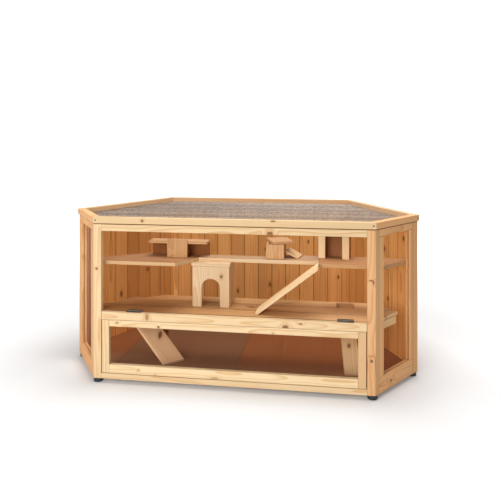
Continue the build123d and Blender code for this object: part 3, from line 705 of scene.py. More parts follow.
@dataclass(frozen=True)
class PlainFinish(Finish):
    """Plated steel or moulded rubber, dulled by handling.

    Attributes:
        colour: Clean colour.
        dull: Colour of smudges and dust.
        roughness: Roughness without scuffs.
        marks: Size and strength of the handling marks.
        relief: Fineness, detail, height and share of the surface's relief.
        metallic: 1 for metal.
        uneven: How far single wires differ.
    """

    colour: Colour
    dull: Colour
    roughness: float
    marks: Pair
    relief: tuple[float, float, float, float]
    metallic: float = 0.0
    uneven: float = 0.0

    SCUFF = 0.2

    def make(self, groups: Groups) -> Material:
        """Build the material.

        Args:
            groups: Shared effects.

        Returns:
            The material.
        """
        material, sheet, shader, place = self.start()
        size, strength = self.marks
        wear = groups.handling.place(sheet, Position=place, Size=size, Strength=strength)
        share = wear["Smudge"]
        if self.uneven:
            tone = sheet.add("Attribute", attribute_name="tone").outputs["Fac"]
            share = sheet.plus(share, tone, self.uneven, clamp=True)
        fineness, detail, height, amount = self.relief
        grit = sheet.noise(place, (fineness, fineness, fineness), detail)
        sheet.wire(
            shader,
            Base_Color=sheet.blend(share, self.colour, self.dull),
            Roughness=sheet.plus(self.roughness, wear["Scuff"], self.SCUFF),
            Normal=self.bump(sheet, grit, height, amount),
        )
        shader.inputs["Metallic"].default_value = self.metallic
        return material


@dataclass(frozen=True)
class PaneFinish(Finish):
    """Clear acrylic sheet that lets the light in."""

    tint: Colour

    # So low that the panes draw no second image of the inside
    IOR = 1.015
    ROUGHNESS = 0.004
    SCUFF = 0.03
    MARKS = {"Size": 6.0, "Strength": 0.5}

    def make(self, groups: Groups) -> Material:
        """Build the material.

        Args:
            groups: Shared effects.

        Returns:
            The material.
        """
        material, sheet, shader, place = self.start()
        wear = groups.handling.place(sheet, Position=place, **self.MARKS)
        shader.inputs["Base Color"].default_value = (*self.tint, 1.0)
        shader.inputs["Transmission Weight"].default_value = 1.0
        shader.inputs["IOR"].default_value = self.IOR
        sheet.wire(shader, Roughness=sheet.plus(self.ROUGHNESS, wear["Scuff"], self.SCUFF))
        rays = sheet.add("LightPath").outputs
        soft = sheet.math("MAXIMUM", rays["Is Shadow Ray"], rays["Is Diffuse Ray"])
        passing = sheet.add("BsdfTransparent", self.tint)
        mixed = sheet.add("MixShader", soft, shader.outputs[0], passing.outputs[0])
        output = next(node for node in material.node_tree.nodes if node.type == "OUTPUT_MATERIAL")
        sheet.wire(output, Surface=mixed.outputs[0])
        return material


FRONT_PINE = PineFinish(
    "front_pine", pale=(0.83, 0.625, 0.378), late=(0.69, 0.434, 0.208), heart=(0.66, 0.38, 0.17),
    knot_share=0.06, figure=1.3, shut=0.4,
)
WARM_PINE = PineFinish(
    "warm_pine", pale=(0.75, 0.44, 0.217), late=(0.625, 0.305, 0.12), heart=(0.595, 0.267, 0.099),
    knot_share=0.06, figure=1.3, shut=0.6,
)
SIDE_PINE = PineFinish(
    "side_pine", pale=(0.86, 0.485, 0.226), late=(0.69, 0.325, 0.12), heart=(0.65, 0.277, 0.094),
    pitch=0.0036, knot_share=0.16, figure=1.2,
)
WALL_PINE = PineFinish(
    "wall_pine", pale=(0.94, 0.47, 0.157), late=(0.62, 0.255, 0.07), heart=(0.47, 0.17, 0.042),
    pitch=0.0052, knot_share=0.25, figure=1.0, joint=0.35, tone_share=0.5, shut=0.5,
)
PLATFORM_PINE = PineFinish(
    "platform_pine",
    pale=(0.68, 0.385, 0.175),
    late=(0.5, 0.24, 0.085),
    heart=(0.47, 0.2, 0.066),
    pitch=0.0048,
    knot_share=0.3,
    figure=1.5,
    joint=0.6,
    patches=(
        # Painted shade on the left part under the gallery, painted light on the right part
        Patch(Axis.X, -0.9, -0.05, (0.38, 0.14, 0.04), 0.65, 0.3),
        Patch(Axis.X, 0.15, 0.9, (0.96, 0.58, 0.29), 0.75, 0.2),
    ),
)
SHELF_PINE = PineFinish(
    "shelf_pine", pale=(0.8, 0.53, 0.29), late=(0.63, 0.345, 0.145), heart=(0.58, 0.285, 0.115),
    pitch=0.0042, knot_share=0.12, figure=1.0,
)
FLOOR_PLY = PineFinish(
    "floor_ply",
    pale=(0.25, 0.088, 0.032),
    late=(0.2, 0.066, 0.022),
    heart=(0.18, 0.052, 0.017),
    pitch=0.012,
    knot_share=0.02,
    tone_share=0.3,
    patches=(
        Patch(Axis.X, -0.445, 0.0, (0.165, 0.086, 0.046), 0.7),
        # Painted light: the front of the floor, lit through the flap's pane, is lighter
        Patch(Axis.Y, -0.6, -0.12, (0.56, 0.33, 0.21), 0.66, 0.18),
    ),
)
STEEL_MARKS = (90.0, 0.8)
STEEL_RELIEF = (700, 3.0, 0.0001, 0.4)
ZINC = PlainFinish(
    "zinc_steel", (0.15, 0.135, 0.11), (0.09, 0.08, 0.065), 0.5, STEEL_MARKS, STEEL_RELIEF, 1.0
)
WIRE = PlainFinish(
    "mesh_wire", (0.66, 0.6, 0.53), (0.22, 0.19, 0.155), 0.42, STEEL_MARKS, STEEL_RELIEF, 1.0, 0.9
)
RUBBER = PlainFinish(
    "foot_rubber", (0.012, 0.012, 0.012), (0.03, 0.029, 0.027), 0.55, (60.0, 0.6), (1400, 2.0, 0.0002, 0.5)
)
PANE = PaneFinish("clear_pane", (0.97, 0.98, 0.975))

# Painted shadow: a dark band along the top of the body, under the lid's overhanging edge
LID_EDGE_SHADOW = Patch(Axis.Z, 0.5612, 0.5655, JOINT_SHADE, 0.9, 0.0009)
UNDER_LID_PINE = SIDE_PINE.kind("under_lid_pine", patches=(LID_EDGE_SHADOW,))
LEFT_POST_PINE = FRONT_PINE.kind("left_post_pine", front_knot(-0.4799, 0.4041, 0.005), patches=(LID_EDGE_SHADOW,))
RIGHT_POST_PINE = WARM_PINE.kind(
    "right_post_pine",
    front_knot(0.4770, 0.3955, 0.0042, 1.9, 0.6),
    front_knot(0.4835, 0.3890, 0.0040, 0.7, 2.0),
    patches=(LID_EDGE_SHADOW,),
)
TOP_RAIL_PINE = FRONT_PINE.kind(
    "top_rail_pine",
    front_knot(0.1389, 0.5412, 0.0095, 1.15, 0.9),
    pale=(0.775, 0.575, 0.34),
    late=(0.64, 0.395, 0.185),
    patches=(LID_EDGE_SHADOW,),
)
HINGE_RAIL_PINE = FRONT_PINE.kind(
    "hinge_rail_pine",
    front_knot(-0.2941, 0.241, 0.0078, 0.9, 1.5, 0.7),
    front_knot(0.1915, 0.2285, 0.0092, 1.2, 0.8),
    front_knot(0.2434, 0.2422, 0.0040, 1.8, 0.7),
)
FLAP_RAIL_PINE = FRONT_PINE.kind(
    "flap_rail_pine",
    front_knot(-0.4039, 0.2154, 0.0052, 1.3, 0.8, 0.6),
    front_knot(-0.2524, 0.2073, 0.0046),
    front_knot(0.1498, 0.2053, 0.0036, depth=0.5),
)
FLAP_FOOT_PINE = FRONT_PINE.kind(
    "flap_foot_pine",
    front_knot(-0.3259, 0.0526, 0.0040, depth=0.5),
    front_knot(-0.0521, 0.0409, 0.0060, 2.4, 0.8, 0.45),
    front_knot(-0.2647, 0.0395, 0.0034, depth=0.4),
    pale=(0.88, 0.68, 0.415),
    late=(0.745, 0.48, 0.235),
)
FLAP_STILE_PINE = FRONT_PINE.kind(
    "flap_stile_pine", patches=(Patch(Axis.X, 0.3, 0.6, (0.66, 0.38, 0.18), 0.7),)
)
LID_FRONT_PINE = FRONT_PINE.kind(
    "lid_front_pine",
    face_knot(LID_FACE, -0.3098, 0.5772, 0.0052),
    face_knot(LID_FACE, 0.15, 0.586, 0.0040, 2.2, 0.8),
    pale=(0.745, 0.545, 0.315),
    late=(0.61, 0.375, 0.17),
)
LID_BACK_PINE = SIDE_PINE.kind("lid_back_pine", pale=(0.8, 0.54, 0.32), late=(0.62, 0.36, 0.175))
RAMP_PINE = SHELF_PINE.kind("ramp_pine", pale=(0.98, 0.72, 0.44), late=(0.83, 0.52, 0.255))
# Painted shade: a deep brown for the corner house's inner walls, dark with shadow inside; the platform's
# legs use it too
DARK_PINE = SHELF_PINE.kind("dark_pine", pale=(0.36, 0.12, 0.04), late=(0.24, 0.074, 0.024))
CORNER_PINE = WALL_PINE.kind("corner_pine", joint=0.0)
# Painted shade darkens the galleries' upper faces
LEFT_GALLERY_PINE = SHELF_PINE.kind(
    "left_gallery_pine", pale=(0.69, 0.43, 0.225), late=(0.53, 0.27, 0.11), tread=0.9
)
RIGHT_GALLERY_PINE = SHELF_PINE.kind(
    "right_gallery_pine", pale=(0.65, 0.355, 0.165), late=(0.48, 0.21, 0.075), tread=0.5
)
CREAM_PINE = SHELF_PINE.kind("cream_pine", pale=(0.82, 0.61, 0.4), late=(0.64, 0.41, 0.215))
# Painted shade darkens this gallery's upper faces
BACK_GALLERY_PINE = CREAM_PINE.kind("back_gallery_pine", tread=0.7)
HUT_PINE = SHELF_PINE.kind(
    "hut_pine",
    pale=(0.64, 0.36, 0.175),
    late=(0.46, 0.215, 0.085),
    # Painted shade: the hut behind its front face, under the roof, is darkened
    patches=(Patch(Axis.Y, -0.2222, -0.16, (0.22, 0.062, 0.01), 0.95),),
)
BOX_PINE = SHELF_PINE.kind("box_pine", pale=(0.7, 0.385, 0.19), late=(0.53, 0.245, 0.095))
ARCH_PINE = CREAM_PINE.kind("arch_pine", face_knot(ARCH_FACE, -0.0508, 0.3652, 0.0055, 0.9, 1.2))
# The shaded upper ends of the lower ramps
RAMP_TOP = Patch(Axis.Z, 0.226, 0.3, (0.4, 0.17, 0.06), 0.9, 0.012)
# Painted light: a lighter copy of the shelf pine, for the ramp lit through the flap's pane
LEFT_RAMP_PINE = SHELF_PINE.kind(
    "left_ramp_pine",
    Knot((-0.2975, -0.1965, 0.1245), 0.0075, (0.8, 2.0, 1.9)),
    pale=(0.97, 0.62, 0.36),
    late=(0.85, 0.48, 0.24),
    figure=1.4,
    patches=(RAMP_TOP,),
)
RIGHT_RAMP_PINE = SHELF_PINE.kind(
    "right_ramp_pine", Knot((0.4061, -0.2022, 0.1229), 0.0055, (1.0, 2.0, 1.4)), patches=(RAMP_TOP,)
)
BACK_WALL_KNOTS = (
    (0.0356, 0.3537),
    (0.0553, 0.1897),
    (0.2333, 0.3938),
    (0.4334, 0.4072),
    (0.369, 0.2357),
    (-0.0958, 0.1549),
)
BACK_WALL_PINE = WALL_PINE.kind(
    "back_wall_pine",
    *(face_knot(BACK_FACE, x, z, 0.006, 0.8, 1.7) for x, z in BACK_WALL_KNOTS),
    late=(0.7, 0.305, 0.087),
    heart=(0.54, 0.205, 0.053),
)
LEFT_WALL_PINE = WALL_PINE.kind(
    "left_wall_pine",
    Knot((-0.5494, 0.046, 0.2023), 0.006, (2.0, 1.2, 2.2)),
    Knot((-0.4816, 0.186, 0.278), 0.006, (2.0, 1.0, 1.3)),
    pale=(0.82, 0.375, 0.12),
    late=(0.52, 0.2, 0.053),
)
RIGHT_WALL_PINE = WALL_PINE.kind(
    "right_wall_pine",
    Knot((0.6105, -0.0801, 0.4912), 0.006, (2.0, 1.0, 1.8)),
    Knot((0.5501, 0.0446, 0.4279), 0.007, (2.0, 1.0, 1.4)),
    Knot((0.5626, 0.0188, 0.2362), 0.006, (2.0, 1.0, 1.4)),
    late=(0.7, 0.29, 0.075),
    heart=(0.6, 0.22, 0.052),
)


class SeamFinder:
    """Finds the edges of boards that lie against another board."""

    REACH = 0.0056

    def __init__(self) -> None:
        """Start without boards."""
        self.corners: list[Vector] = []
        self.polygons: list[list[int]] = []
        self.owners: list[str] = []
        self.tree: BVHTree | None = None

    def note(self, owner: str, board: Solid) -> None:
        """Take in one board.

        Args:
            owner: Name of the board.
            board: The board's mesh.
        """
        first = len(self.corners)
        board.verts.index_update()
        self.corners += [vert.co.copy() for vert in board.verts]
        for face in board.faces:
            self.polygons.append([first + vert.index for vert in face.verts])
            self.owners.append(owner)

    def touches(self, owner: str, place: Vector) -> bool:
        """Tell whether another board lies close to a place on a board.

        Args:
            owner: Name of the board.
            place: A point on it.

        Returns:
            True at a joint.
        """
        if self.tree is None:
            self.tree = BVHTree.FromPolygons(self.corners, self.polygons)
        near = self.tree.find_nearest_range(place, self.REACH)
        return any(self.owners[index] != owner for _, _, index, _ in near)


class Workshop:
    """The loaded frame, the made materials and the tools that dress a piece."""

    def __init__(self, frame: dict[str, Any]) -> None:
        """Keep the frame and build the shared effects.
        """
        self.frame = frame
        self.groups = Groups()
        self.made: dict[str, Material] = {}
        self.seams = SeamFinder()

    def material(self, finish: Finish) -> Material:
        """Give a finish's material, made on first use.

        Args:
            finish: The finish.

        Returns:
            Its material.
        """
        if finish.name not in self.made:
            self.made[finish.name] = finish.make(self.groups)
        return self.made[finish.name]

    def node(self, name: str) -> bpy.types.Object:
        """Give the CAD object of a node."""
        return self.frame["nodes"][name]

    def stand_for(self, node: str, mesh: Mesh, finish: Finish, body: Body) -> None:
        """Put a mesh in the scene in place of a CAD node.

        Args:
            node: CAD node that it replaces.
            mesh: Mesh of the new piece, in the row frame.
            finish: Its finish.
            body: Body that it rides on.
        """
        piece = bpy.data.objects.new(mesh.name, mesh)
        bpy.context.collection.objects.link(piece)
        mesh.materials.append(self.material(finish))
        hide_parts(node)
        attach(piece, body.value)
        LOG.info("%s stands for %s on %s", piece.name, node, body.value)

    def coat(self, node: str, finish: Finish) -> None:
        """Give a kept CAD node its finish.

        Args:
            node: CAD node.
            finish: Its finish.
        """
        item = self.node(node)
        if not item.material_slots:
            item.data.materials.append(None)
        for place in item.material_slots:
            place.material = self.material(finish)
        LOG.info("%s kept with %s", node, finish.name)


class BoardCutter:
    """Makes eased copies of a node's boards, each with its own grain."""

    FLAT = math.radians(1.0)
    SHARP = math.radians(24.0)
    MERGE = 0.00002
    SIDEWAYS = 0.6
    SEGMENTS = 2
    PROFILE = 0.6
    FREE_EDGE = 0.5
    JOINT_EDGE = 1.0
    GRAIN_SHIFT = 40.0
    PITH_SIDE = 1.1
    PITH_DEPTH = (0.012, 0.06)

    def apart(self, mesh: Solid) -> list[Solid]:
        """Copy each separate solid of a mesh to a mesh of its own.

        Args:
            mesh: Mesh with one or more solids.

        Returns:
            The new meshes, in the order of their first face.
        """
        mesh.faces.ensure_lookup_table()
        seen: set[int] = set()
        boards = []
        for first in mesh.faces:
            if first.index in seen:
                continue
            seen.add(first.index)
            group = [first]
            board = bmesh.new()
            places: dict[int, bmesh.types.BMVert] = {}
            for face in group:
                for vert in face.verts:
                    if vert.index not in places:
                        places[vert.index] = board.verts.new(vert.co)
                board.faces.new([places[vert.index] for vert in face.verts])
                for other in (near for edge in face.edges for near in edge.link_faces):
                    if other.index not in seen:
                        seen.add(other.index)
                        group.append(other)
            board.normal_update()
            boards.append(board)
        return boards

    def axes(self, board: Solid, grain: Grain) -> tuple[Vector, Vector, Vector]:
        """Find the directions of a board.

        Args:
            board: The board's mesh, before its edges are eased.
            grain: How its grain is laid.

        Returns:
            Unit vectors along the grain, across the face and through the board.
        """
        if grain is Grain.LENGTH:
            longest = max(board.edges, key=lambda edge: round(edge.calc_length(), 5))
            along = (longest.verts[1].co - longest.verts[0].co).normalized()
        else:
            along = Vector(grain.value)
        sides = [face for face in board.faces if abs(face.normal.dot(along)) < self.SIDEWAYS]
        widest = max(sides or list(board.faces), key=lambda face: round(face.calc_area(), 7))
        through = widest.normal - along * widest.normal.dot(along)
        through.normalize()
        return along, through.cross(along).normalized(), through

    def shells(self, source: Mesh) -> list[list[list[int]]]:
        """Split a mesh's faces into closed shells, in the order in which they are stored.

        Args:
            source: The CAD node's mesh.

        Returns:
            The corners of each face, shell by shell.
        """
        keys = [tuple(round(number / self.MERGE) for number in vert.co) for vert in source.vertices]
        loose: dict[tuple[Any, Any], int] = {}
        shell: list[list[int]] = []
        found = []
        for polygon in source.polygons:
            corners = list(polygon.vertices)
            shell.append(corners)
            for first, last in zip(corners, corners[1:] + corners[:1]):
                back = (keys[last], keys[first])
                if loose.get(back):
                    loose[back] -= 1
                    if not loose[back]:
                        del loose[back]
                elif keys[first] != keys[last]:
                    loose[back[::-1]] = loose.get(back[::-1], 0) + 1
            if not loose:
                found.append(shell)
                shell = []
        return found + ([shell] if shell else [])

    def solids(self, source: Mesh) -> list[Solid]:
        """Copy a node's solids to meshes of their own, with plain flat faces.

        Args:
            source: The CAD node's mesh.

        Returns:
            One mesh for each solid.
        """
        boards = []
        for shell in self.shells(source):
            whole = bmesh.new()
            used = sorted({index for face in shell for index in face})
            verts = {index: whole.verts.new(source.vertices[index].co) for index in used}
            for face in shell:
                whole.faces.new([verts[index] for index in face])
            bmesh.ops.remove_doubles(whole, verts=whole.verts, dist=self.MERGE)
            bmesh.ops.dissolve_limit(whole, angle_limit=self.FLAT, verts=whole.verts, edges=whole.edges)
            boards += self.apart(whole)
            whole.free()
        return boards

    def ease(self, board: Solid, radius: float, owner: str, seams: SeamFinder) -> None:
        """Round a board's sharp edges and mark the new faces, those at a joint more.

        Args:
            board: The board's mesh.
            radius: Rounding of its edges.
            owner: Name of the board.
            seams: Finder of the edges that lie against other boards.
        """
        eased = board.faces.layers.float.new("eased")
        sharp = [
            edge
            for edge in board.edges
            if len(edge.link_faces) == 2 and edge.calc_face_angle(0.0) > self.SHARP
        ]
        result = bmesh.ops.bevel(
            board,
            geom=sharp,
            offset=radius,
            offset_type="OFFSET",
            segments=self.SEGMENTS,
            profile=self.PROFILE,
            affect="EDGES",
            clamp_overlap=True,
        )
        for face in result["faces"]:
            at_joint = seams.touches(owner, face.calc_center_median())
            face[eased] = self.JOINT_EDGE if at_joint else self.FREE_EDGE

    def cut(
        self, source: Mesh, name: str, radius: float, grain: Grain, seams: SeamFinder
    ) -> Mesh:
        """Copy a node's solids as eased boards with grain.

        Args:
            source: The CAD node's mesh.
            name: Name of the new mesh.
            radius: Rounding of the edges.
            grain: How the grain is laid.
            seams: Finder of the edges that lie against other boards.

        Returns:
            The new mesh, with grain, tone, spread and eased attributes.
        """
        verts: list[Vector] = []
        faces: list[list[int]] = []
        grains: list[float] = []
        tones: list[float] = []
        spreads: list[float] = []
        edges: list[float] = []
        for place, board in enumerate(self.solids(source)):
            draw = random.Random(f"{name}:{place}")
            along, across, through = self.axes(board, grain)
            self.ease(board, radius, f"{name}:{place}", seams)
            points = [vert.co for vert in board.verts]
            spans = [[point.dot(axis) for point in points] for axis in (along, across, through)]
            middle = Vector([(min(span) + max(span)) / 2 for span in spans])
            half = [(max(span) - min(span)) / 2 for span in spans]
            pith = Vector(
                (
                    draw.uniform(0.0, self.GRAIN_SHIFT),
                    draw.uniform(-self.PITH_SIDE, self.PITH_SIDE) * half[1],
                    draw.choice((-1.0, 1.0)) * (half[2] + draw.uniform(*self.PITH_DEPTH)),
                )
            )
            tone = draw.uniform(-1.0, 1.0)
            first = len(verts)
            board.verts.index_update()
            layer = board.faces.layers.float["eased"]
            for point, *local in zip(points, *spans):
                offset = Vector(local) - middle
                verts.append(point.copy())
                grains.extend(offset + pith)
                tones.append(tone)
                spreads.append(offset.y / half[1])
            for face in board.faces:
                faces.append([first + vert.index for vert in face.verts])
                edges.append(face[layer])
            board.free()
        mesh = bpy.data.meshes.new(name)
        mesh.from_pydata(verts, [], faces)
        mesh.attributes.new("grain", "FLOAT_VECTOR", "POINT").data.foreach_set("vector", grains)
        mesh.attributes.new("tone", "FLOAT", "POINT").data.foreach_set("value", tones)
        mesh.attributes.new("spread", "FLOAT", "POINT").data.foreach_set("value", spreads)
        mesh.attributes.new("eased", "FLOAT", "FACE").data.foreach_set("value", edges)
        mesh.update()
        return mesh


CUTTER = BoardCutter()


def table(**rows: Any) -> Any:
    """Give each instance of a dataclass its own copy of a table of nodes."""
    return field(default_factory=lambda: dict(rows))


@dataclass
class TimberSet:
    """A sub-assembly of boards that share a body.

    Attributes:
        nodes: CAD nodes with their finishes.
        body: Body that they ride on.
        slot: Record slot of the finish; not used.
        easing: Rounding of the boards' edges.
        grain: Grain direction of the boards.
        laid: Grain direction of nodes that differ from it.
    """

    nodes: dict[str, PineFinish] = table()
    body: Body = Body.FRAME
    slot: Slot = Slot.PINE
    easing: float = 0.0011
    grain: Grain = Grain.LENGTH
    laid: dict[str, Grain] = table()

    def piece_name(self, node: str) -> str:
        """Name the dressed boards of a node."""
        return f"{node}_boards"

    def survey(self, shop: Workshop) -> None:
        """Let the seam finder know the boards.

        Args:
            shop: The workshop.
        """
        for node in self.nodes:
            for place, board in enumerate(CUTTER.solids(shop.node(node).data)):
                shop.seams.note(f"{self.piece_name(node)}:{place}", board)
                board.free()

    def build(self, shop: Workshop) -> dict[str, Mesh]:
        """Cut the boards of every node.

        Args:
            shop: The workshop.

        Returns:
            The meshes by node.
        """
        meshes = {}
        for node in self.nodes:
            grain = self.laid.get(node, self.grain)
            source = shop.node(node).data
            meshes[node] = CUTTER.cut(source, self.piece_name(node), self.easing, grain, shop.seams)
        return meshes

    def dress(self, shop: Workshop) -> None:
        """Build the boards, finish them and set them on their body.

        Args:
            shop: The workshop.
        """
        for node, mesh in self.build(shop).items():
            shop.stand_for(node, mesh, self.nodes[node], self.body)


@dataclass
class CarcassFrame(TimberSet):
    """Posts, rails, stiles and the flap's stop bead."""

    nodes: dict[str, PineFinish] = table(
        front_left_post=LEFT_POST_PINE,
        front_right_post=RIGHT_POST_PINE,
        apex_posts=UNDER_LID_PINE,
        back_posts=CORNER_PINE,
        front_top_rail=TOP_RAIL_PINE,
        front_bottom_rail=FRONT_PINE,
        flap_stop_bead=SIDE_PINE,
        side_top_rails=UNDER_LID_PINE,
        side_bottom_rails=SIDE_PINE,
        side_stiles=SIDE_PINE,
        back_top_rails=UNDER_LID_PINE,
        back_bottom_rails=SIDE_PINE,
    )


@dataclass
class BackWalls(TimberSet):
    """Upright boards of the three back walls."""

    nodes: dict[str, PineFinish] = table(
        back_wall_boards=BACK_WALL_PINE,
        back_left_wall_boards=LEFT_WALL_PINE,
        back_right_wall_boards=RIGHT_WALL_PINE,
    )
    slot: Slot = Slot.WALL
    easing: float = 0.0006
    grain: Grain = Grain.UPRIGHT


@dataclass
class FloorDeck(TimberSet):
    """Plywood floor panels."""

    nodes: dict[str, PineFinish] = table(floor_panels=FLOOR_PLY)
    slot: Slot = Slot.FLOOR
    easing: float = 0.0005
    grain: Grain = Grain.ALONG_Y


@dataclass
class FloorBearers(TimberSet):
    """Bearers under the floor."""

    nodes: dict[str, PineFinish] = table(floor_bearers=SIDE_PINE)


@dataclass
class InnerFurniture(TimberSet):
    """Platform, gallery, ramps and the small houses."""

    nodes: dict[str, PineFinish] = table(
        platform_boards=PLATFORM_PINE,
        platform_bearers=PLATFORM_PINE,
        platform_legs=DARK_PINE,
        gallery_left=LEFT_GALLERY_PINE,
        gallery_back=BACK_GALLERY_PINE,
        gallery_right=RIGHT_GALLERY_PINE,
        gallery_cleats=RIGHT_GALLERY_PINE,
        bridge_ramp=RAMP_PINE,
        lower_left_ramp=LEFT_RAMP_PINE,
        lower_right_ramp=RIGHT_RAMP_PINE,
        small_ramp=SHELF_PINE,
        arch_house_front=ARCH_PINE,
        arch_house_sides=CREAM_PINE,
        arch_house_roof=CREAM_PINE,
        hut_walls=HUT_PINE,
        hut_roof=BOX_PINE,
        box_house_walls=BOX_PINE,
        box_house_roof=BOX_PINE,
        corner_house_front=RAMP_PINE,
        corner_house_walls=DARK_PINE,
        corner_house_roof=SHELF_PINE,
    )
    slot: Slot = Slot.SHELF
    easing: float = 0.0009
    laid: dict[str, Grain] = table(
        platform_boards=Grain.ALONG_X,
        gallery_back=Grain.ALONG_X,
        arch_house_front=Grain.UPRIGHT,
        arch_house_sides=Grain.UPRIGHT,
        hut_walls=Grain.UPRIGHT,
        box_house_walls=Grain.UPRIGHT,
        corner_house_front=Grain.UPRIGHT,
        corner_house_walls=Grain.UPRIGHT,
    )


@dataclass
class LidRails(TimberSet):
    """Six mitred rails of the lid."""

    nodes: dict[str, PineFinish] = table(
        lid_front_rail=LID_FRONT_PINE,
        lid_back_rail=LID_BACK_PINE,
        lid_side_rails=SIDE_PINE,
        lid_rear_side_rails=LID_BACK_PINE,
    )
    body: Body = Body.LID
    easing: float = 0.0019


@dataclass
class FlapFrame(TimberSet):
    """Frame of the front flap with its hinge rail."""

    nodes: dict[str, PineFinish] = table(
        flap_hinge_rail=HINGE_RAIL_PINE,
        flap_top_rail=FLAP_RAIL_PINE,
        flap_bottom_rail=FLAP_FOOT_PINE,
        flap_stiles=FLAP_STILE_PINE,
    )
    body: Body = Body.FLAP


@dataclass
class TurnButton(TimberSet):
    """A small wooden catch on its screw."""

    nodes: dict[str, PineFinish] = table(turn_button=WARM_PINE)
    body: Body = Body.BUTTON
    easing: float = 0.0012


@dataclass
class LidMesh:
    """Welded wire mesh held in the lid's rails.

    Attributes:
        pitch: Spacing of the wires.
        radius: Radius of a wire.
        sides: Faces round a wire.
        inset: How far the wires stop short of the CAD sheet's edge.
        apart: Distance between crossing wires, in wire diameters.
    """

    pitch: float = 0.0065
    radius: float = 0.00036
    sides: int = 6
    inset: float = 0.001
    apart: float = 0.92

    def outline(self, mesh: Mesh) -> list[Pair]:
        """Give the corners of the CAD sheet's convex outline in plan."""
        points = sorted({(round(vert.co.x, 5), round(vert.co.y, 5)) for vert in mesh.vertices})
        return [points[index] for index in convex_hull_2d(points)]

    def span(self, outline: Sequence[Pair], axis: Axis, level: float) -> Pair | None:
        """Find where a line crosses the outline.

        Args:
            outline: Corner points in plan.
            axis: Axis that the line runs along, X or Y.
            level: Its place on the other axis.

        Returns:
            The two ends of the line, or None where it misses.
        """
        hits = []
        for first, second in zip(outline, [*outline[1:], outline[0]]):
            low, high = first[1 - axis], second[1 - axis]
            if (low - level) * (high - level) < 0:
                share = (level - low) / (high - low)
                hits.append(first[axis] + share * (second[axis] - first[axis]))
        if len(hits) < 2 or max(hits) - min(hits) < 4 * self.inset:
            return None
        return min(hits) + self.inset, max(hits) - self.inset

    def skin(self, first: int, axis: Axis) -> list[list[int]]:
        """Give the faces of a wire, its sides and then both ends.

        Args:
            first: Index of its first corner.
            axis: Axis that it runs along.

        Returns:
            The faces, turned outward.
        """
        near = list(range(first, first + self.sides))
        far = [corner + self.sides for corner in near]
        faces = []
        for side in range(self.sides):
            after = (side + 1) % self.sides
            faces.append([near[side], near[after], far[after], far[side]])
        faces += [near[::-1], far]
        return faces if axis is Axis.Y else [face[::-1] for face in faces]

    def build(self, sheet: Mesh) -> Mesh:
        """Lay both sets of wires over the CAD sheet's plan.

        Args:
            sheet: Mesh of the CAD sheet.

        Returns:
            The mesh of all wires.
        """
        outline = self.outline(sheet)
        low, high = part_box("lid_mesh")
        middle = (low[2] + high[2]) / 2
        verts: list[Point] = []
        faces: list[list[int]] = []
        tones: list[float] = []
        draw = random.Random("lid wires")
        for axis in (Axis.X, Axis.Y):
            height = middle + (self.radius if axis is Axis.X else -self.radius) * self.apart
            start, end = low[1 - axis], high[1 - axis]
            count = int((end - start) / self.pitch)
            margin = (end - start - count * self.pitch) / 2
            for place in range(count + 1):
                level = start + margin + place * self.pitch
                ends = self.span(outline, axis, level)
                if ends is None:
                    continue
                faces += self.skin(len(verts), axis)
                tones += [draw.random()] * (2 * self.sides)
                for reach in ends:
                    for side in range(self.sides):
                        angle = 2 * math.pi * side / self.sides
                        off = level + self.radius * math.cos(angle)
                        up = height + self.radius * math.sin(angle)
                        verts.append((reach, off, up) if axis is Axis.X else (off, reach, up))
        mesh = bpy.data.meshes.new("lid_wire_mesh")
        mesh.from_pydata(verts, [], faces)
        mesh.attributes.new("tone", "FLOAT", "POINT").data.foreach_set("value", tones)
        mesh.update()
        return mesh

    def dress(self, shop: Workshop) -> None:
        """Set the wires on the lid in place of the CAD sheet."""
        mesh = self.build(shop.node("lid_mesh").data)
        shop.stand_for("lid_mesh", mesh, WIRE, Body.LID)


@dataclass
class KeptFittings:
    """CAD nodes whose shape is right: panes, hinges, screws and feet."""

    finishes: dict[str, Finish] = table(
        front_pane=PANE,
        side_panes=PANE,
        flap_pane=PANE,
        corner_feet=RUBBER,
        flap_hinge_fixed_leaves=ZINC,
        lid_hinge_fixed_leaves=ZINC,
        hinge_pins=ZINC,
        button_screw=ZINC,
        lid_screws=ZINC,
        lid_hinge_leaves=ZINC,
        flap_hinge_leaves=ZINC,
    )

    def dress(self, shop: Workshop) -> None:
        """Give each kept node its finish."""
        for node, finish in self.finishes.items():
            shop.coat(node, finish)


@dataclass(frozen=True)
class Lamp:
    """One soft square lamp, hung at a place and aimed at a point, with its power in watts."""

    name: str
    place: Point
    aim: Point
    size: float
    power: float

    def hang(self) -> None:
        """Put the lamp in the scene."""
        data = bpy.data.lights.new(self.name, "AREA")
        data.size = self.size
        data.energy = self.power
        item = bpy.data.objects.new(self.name, data)
        item.location = self.place
        item.rotation_euler = (Vector(self.aim) - Vector(self.place)).to_track_quat("-Z", "Y").to_euler()
        bpy.context.collection.objects.link(item)


